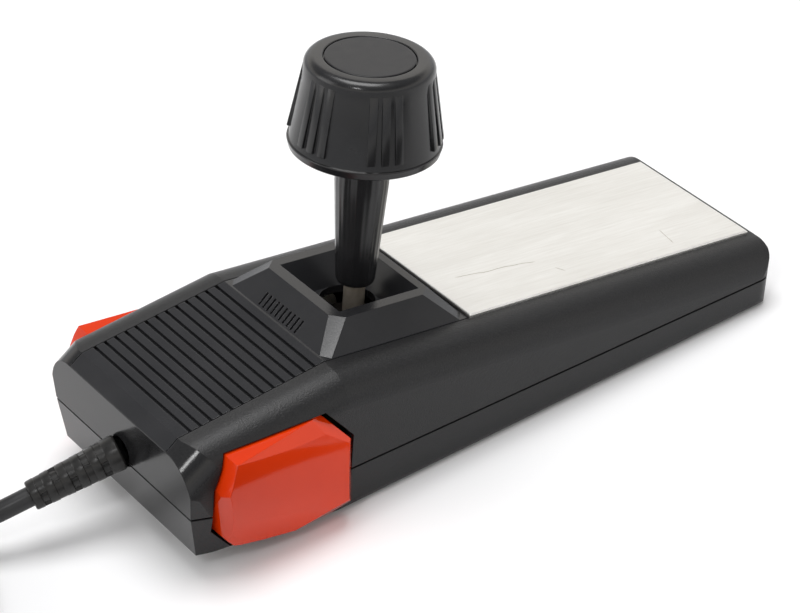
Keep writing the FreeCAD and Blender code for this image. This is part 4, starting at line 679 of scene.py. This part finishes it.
# Screws and pad: zinc-plated steel screws hold the halves and the works, and a thin foam pad
# beds the palm plate.
zinc = worn("zinc", (0.24, 0.25, 0.27), (0.40, 0.41, 0.43), 0.28, metallic=1.0, grain=600.0)
dress(zinc, "case_screws", "board_screws", "bracket_screws", "actuator_screw", "knob_screw")
pad_foam = worn("pad_foam", (0.60, 0.57, 0.50), (0.72, 0.69, 0.61), 0.7, grain=1800.0)
dress(pad_foam, "plate_pad")

# Plug: a moulded black hood on the tail of the lead, and a block with a plated metal shell
# round nine brass contacts.
dress(grained_black, "plug_hood")
dress(satin_black, "plug_block")
plated_steel = worn("plated_steel", (0.42, 0.43, 0.44), (0.58, 0.59, 0.60), 0.18,
                    metallic=1.0, grain=450.0)
dress(plated_steel, "plug_shell")

# Table: a wide pale sheet. A dark card lies on it just below the picture, and its reflection
# is the deeper orange in the upper part of the near button.
bpy.ops.object.select_all(action="DESELECT")
bpy.ops.mesh.primitive_plane_add(size=12.0, location=(0, 0, -0.1 * MM))
table = bpy.context.object
table.name = "table"
pale, start = new_material("pale", Roughness=0.6)
spot = place_on_object(start)
cloud = noise(start, spot, 4.0, 3.0)
feed(pale, "Base Color", cloud.between((0.86, 0.86, 0.87), (0.88, 0.88, 0.885)))
table.data.materials.append(pale)
card_edge = Vector((-60.3, -70.8, 0.0)) * MM
card_turn = math.radians(-36.6)
card_size = Vector((300.0, 220.0, 0.4)) * MM
card_shift = 90.0 * MM
card_axes = Matrix.Translation(card_edge) @ Matrix.Rotation(card_turn, 4, "Z")
card_middle = Matrix.Translation((card_shift, -card_size.y / 2, card_size.z / 2))
bpy.ops.mesh.primitive_cube_add(size=1.0, location=(0, 0, 0))
card = bpy.context.object
card.name = "card"
card.matrix_world = card_axes @ card_middle @ Matrix.Diagonal((*card_size, 1.0))
bpy.ops.object.transform_apply(location=True, rotation=True, scale=True)
slate, start = new_material("slate", Roughness=0.8)
fleck = noise(start, place_on_object(start), 90.0, 4.0)
feed(slate, "Base Color", fleck.between((0.03, 0.03, 0.03), (0.05, 0.05, 0.05)))
card.data.materials.append(slate)

# Room: walls that are bright low down, a dim ceiling that is lit again overhead, and three soft
# lights. The small one at the front gives the pale gleam on the collar's corner and the knob's
# shoulder.
world = bpy.data.worlds.new("room")
world.use_nodes = True
bpy.context.scene.world = world
room = Shade(world.node_tree)
look = room.node("ShaderNodeTexCoord", out="Generated")
height = room.node("ShaderNodeSeparateXYZ", None, {"Vector": look}, out="Z")
stops = [(0.0, (0.90, 0.93, 1.0)), (0.38, (1.66, 1.60, 1.50)), (0.55, (0.36, 0.365, 0.38)),
         (0.80, (0.44, 0.445, 0.46)), (0.93, (1.0, 1.0, 1.0))]
sky = room.node("ShaderNodeValToRGB", {"stops": stops}, {0: height})
world.node_tree.links.new(sky.socket, world.node_tree.nodes["Background"].inputs["Color"])
world.node_tree.nodes["Background"].inputs["Strength"].default_value = 0.83


def soft_light(name, place, size, power):
    """A square soft light at a place, aimed at the frame's origin."""
    data = bpy.data.lights.new(name, "AREA")
    data.size = size
    data.energy = power
    light = bpy.data.objects.new(name, data)
    light.location = place
    light.rotation_euler = Vector(place).to_track_quat("Z", "Y").to_euler()
    bpy.context.scene.collection.objects.link(light)


soft_light("overhead", (0.1, 0.15, 1.1), 0.6, 8.0)
soft_light("window", (-1.25, 0.65, 0.8), 0.8, 4.0)
soft_light("front_box", (-0.575, -0.415, 0.78), 0.13, 1.2)
bpy.context.scene.view_settings.view_transform = "Standard"
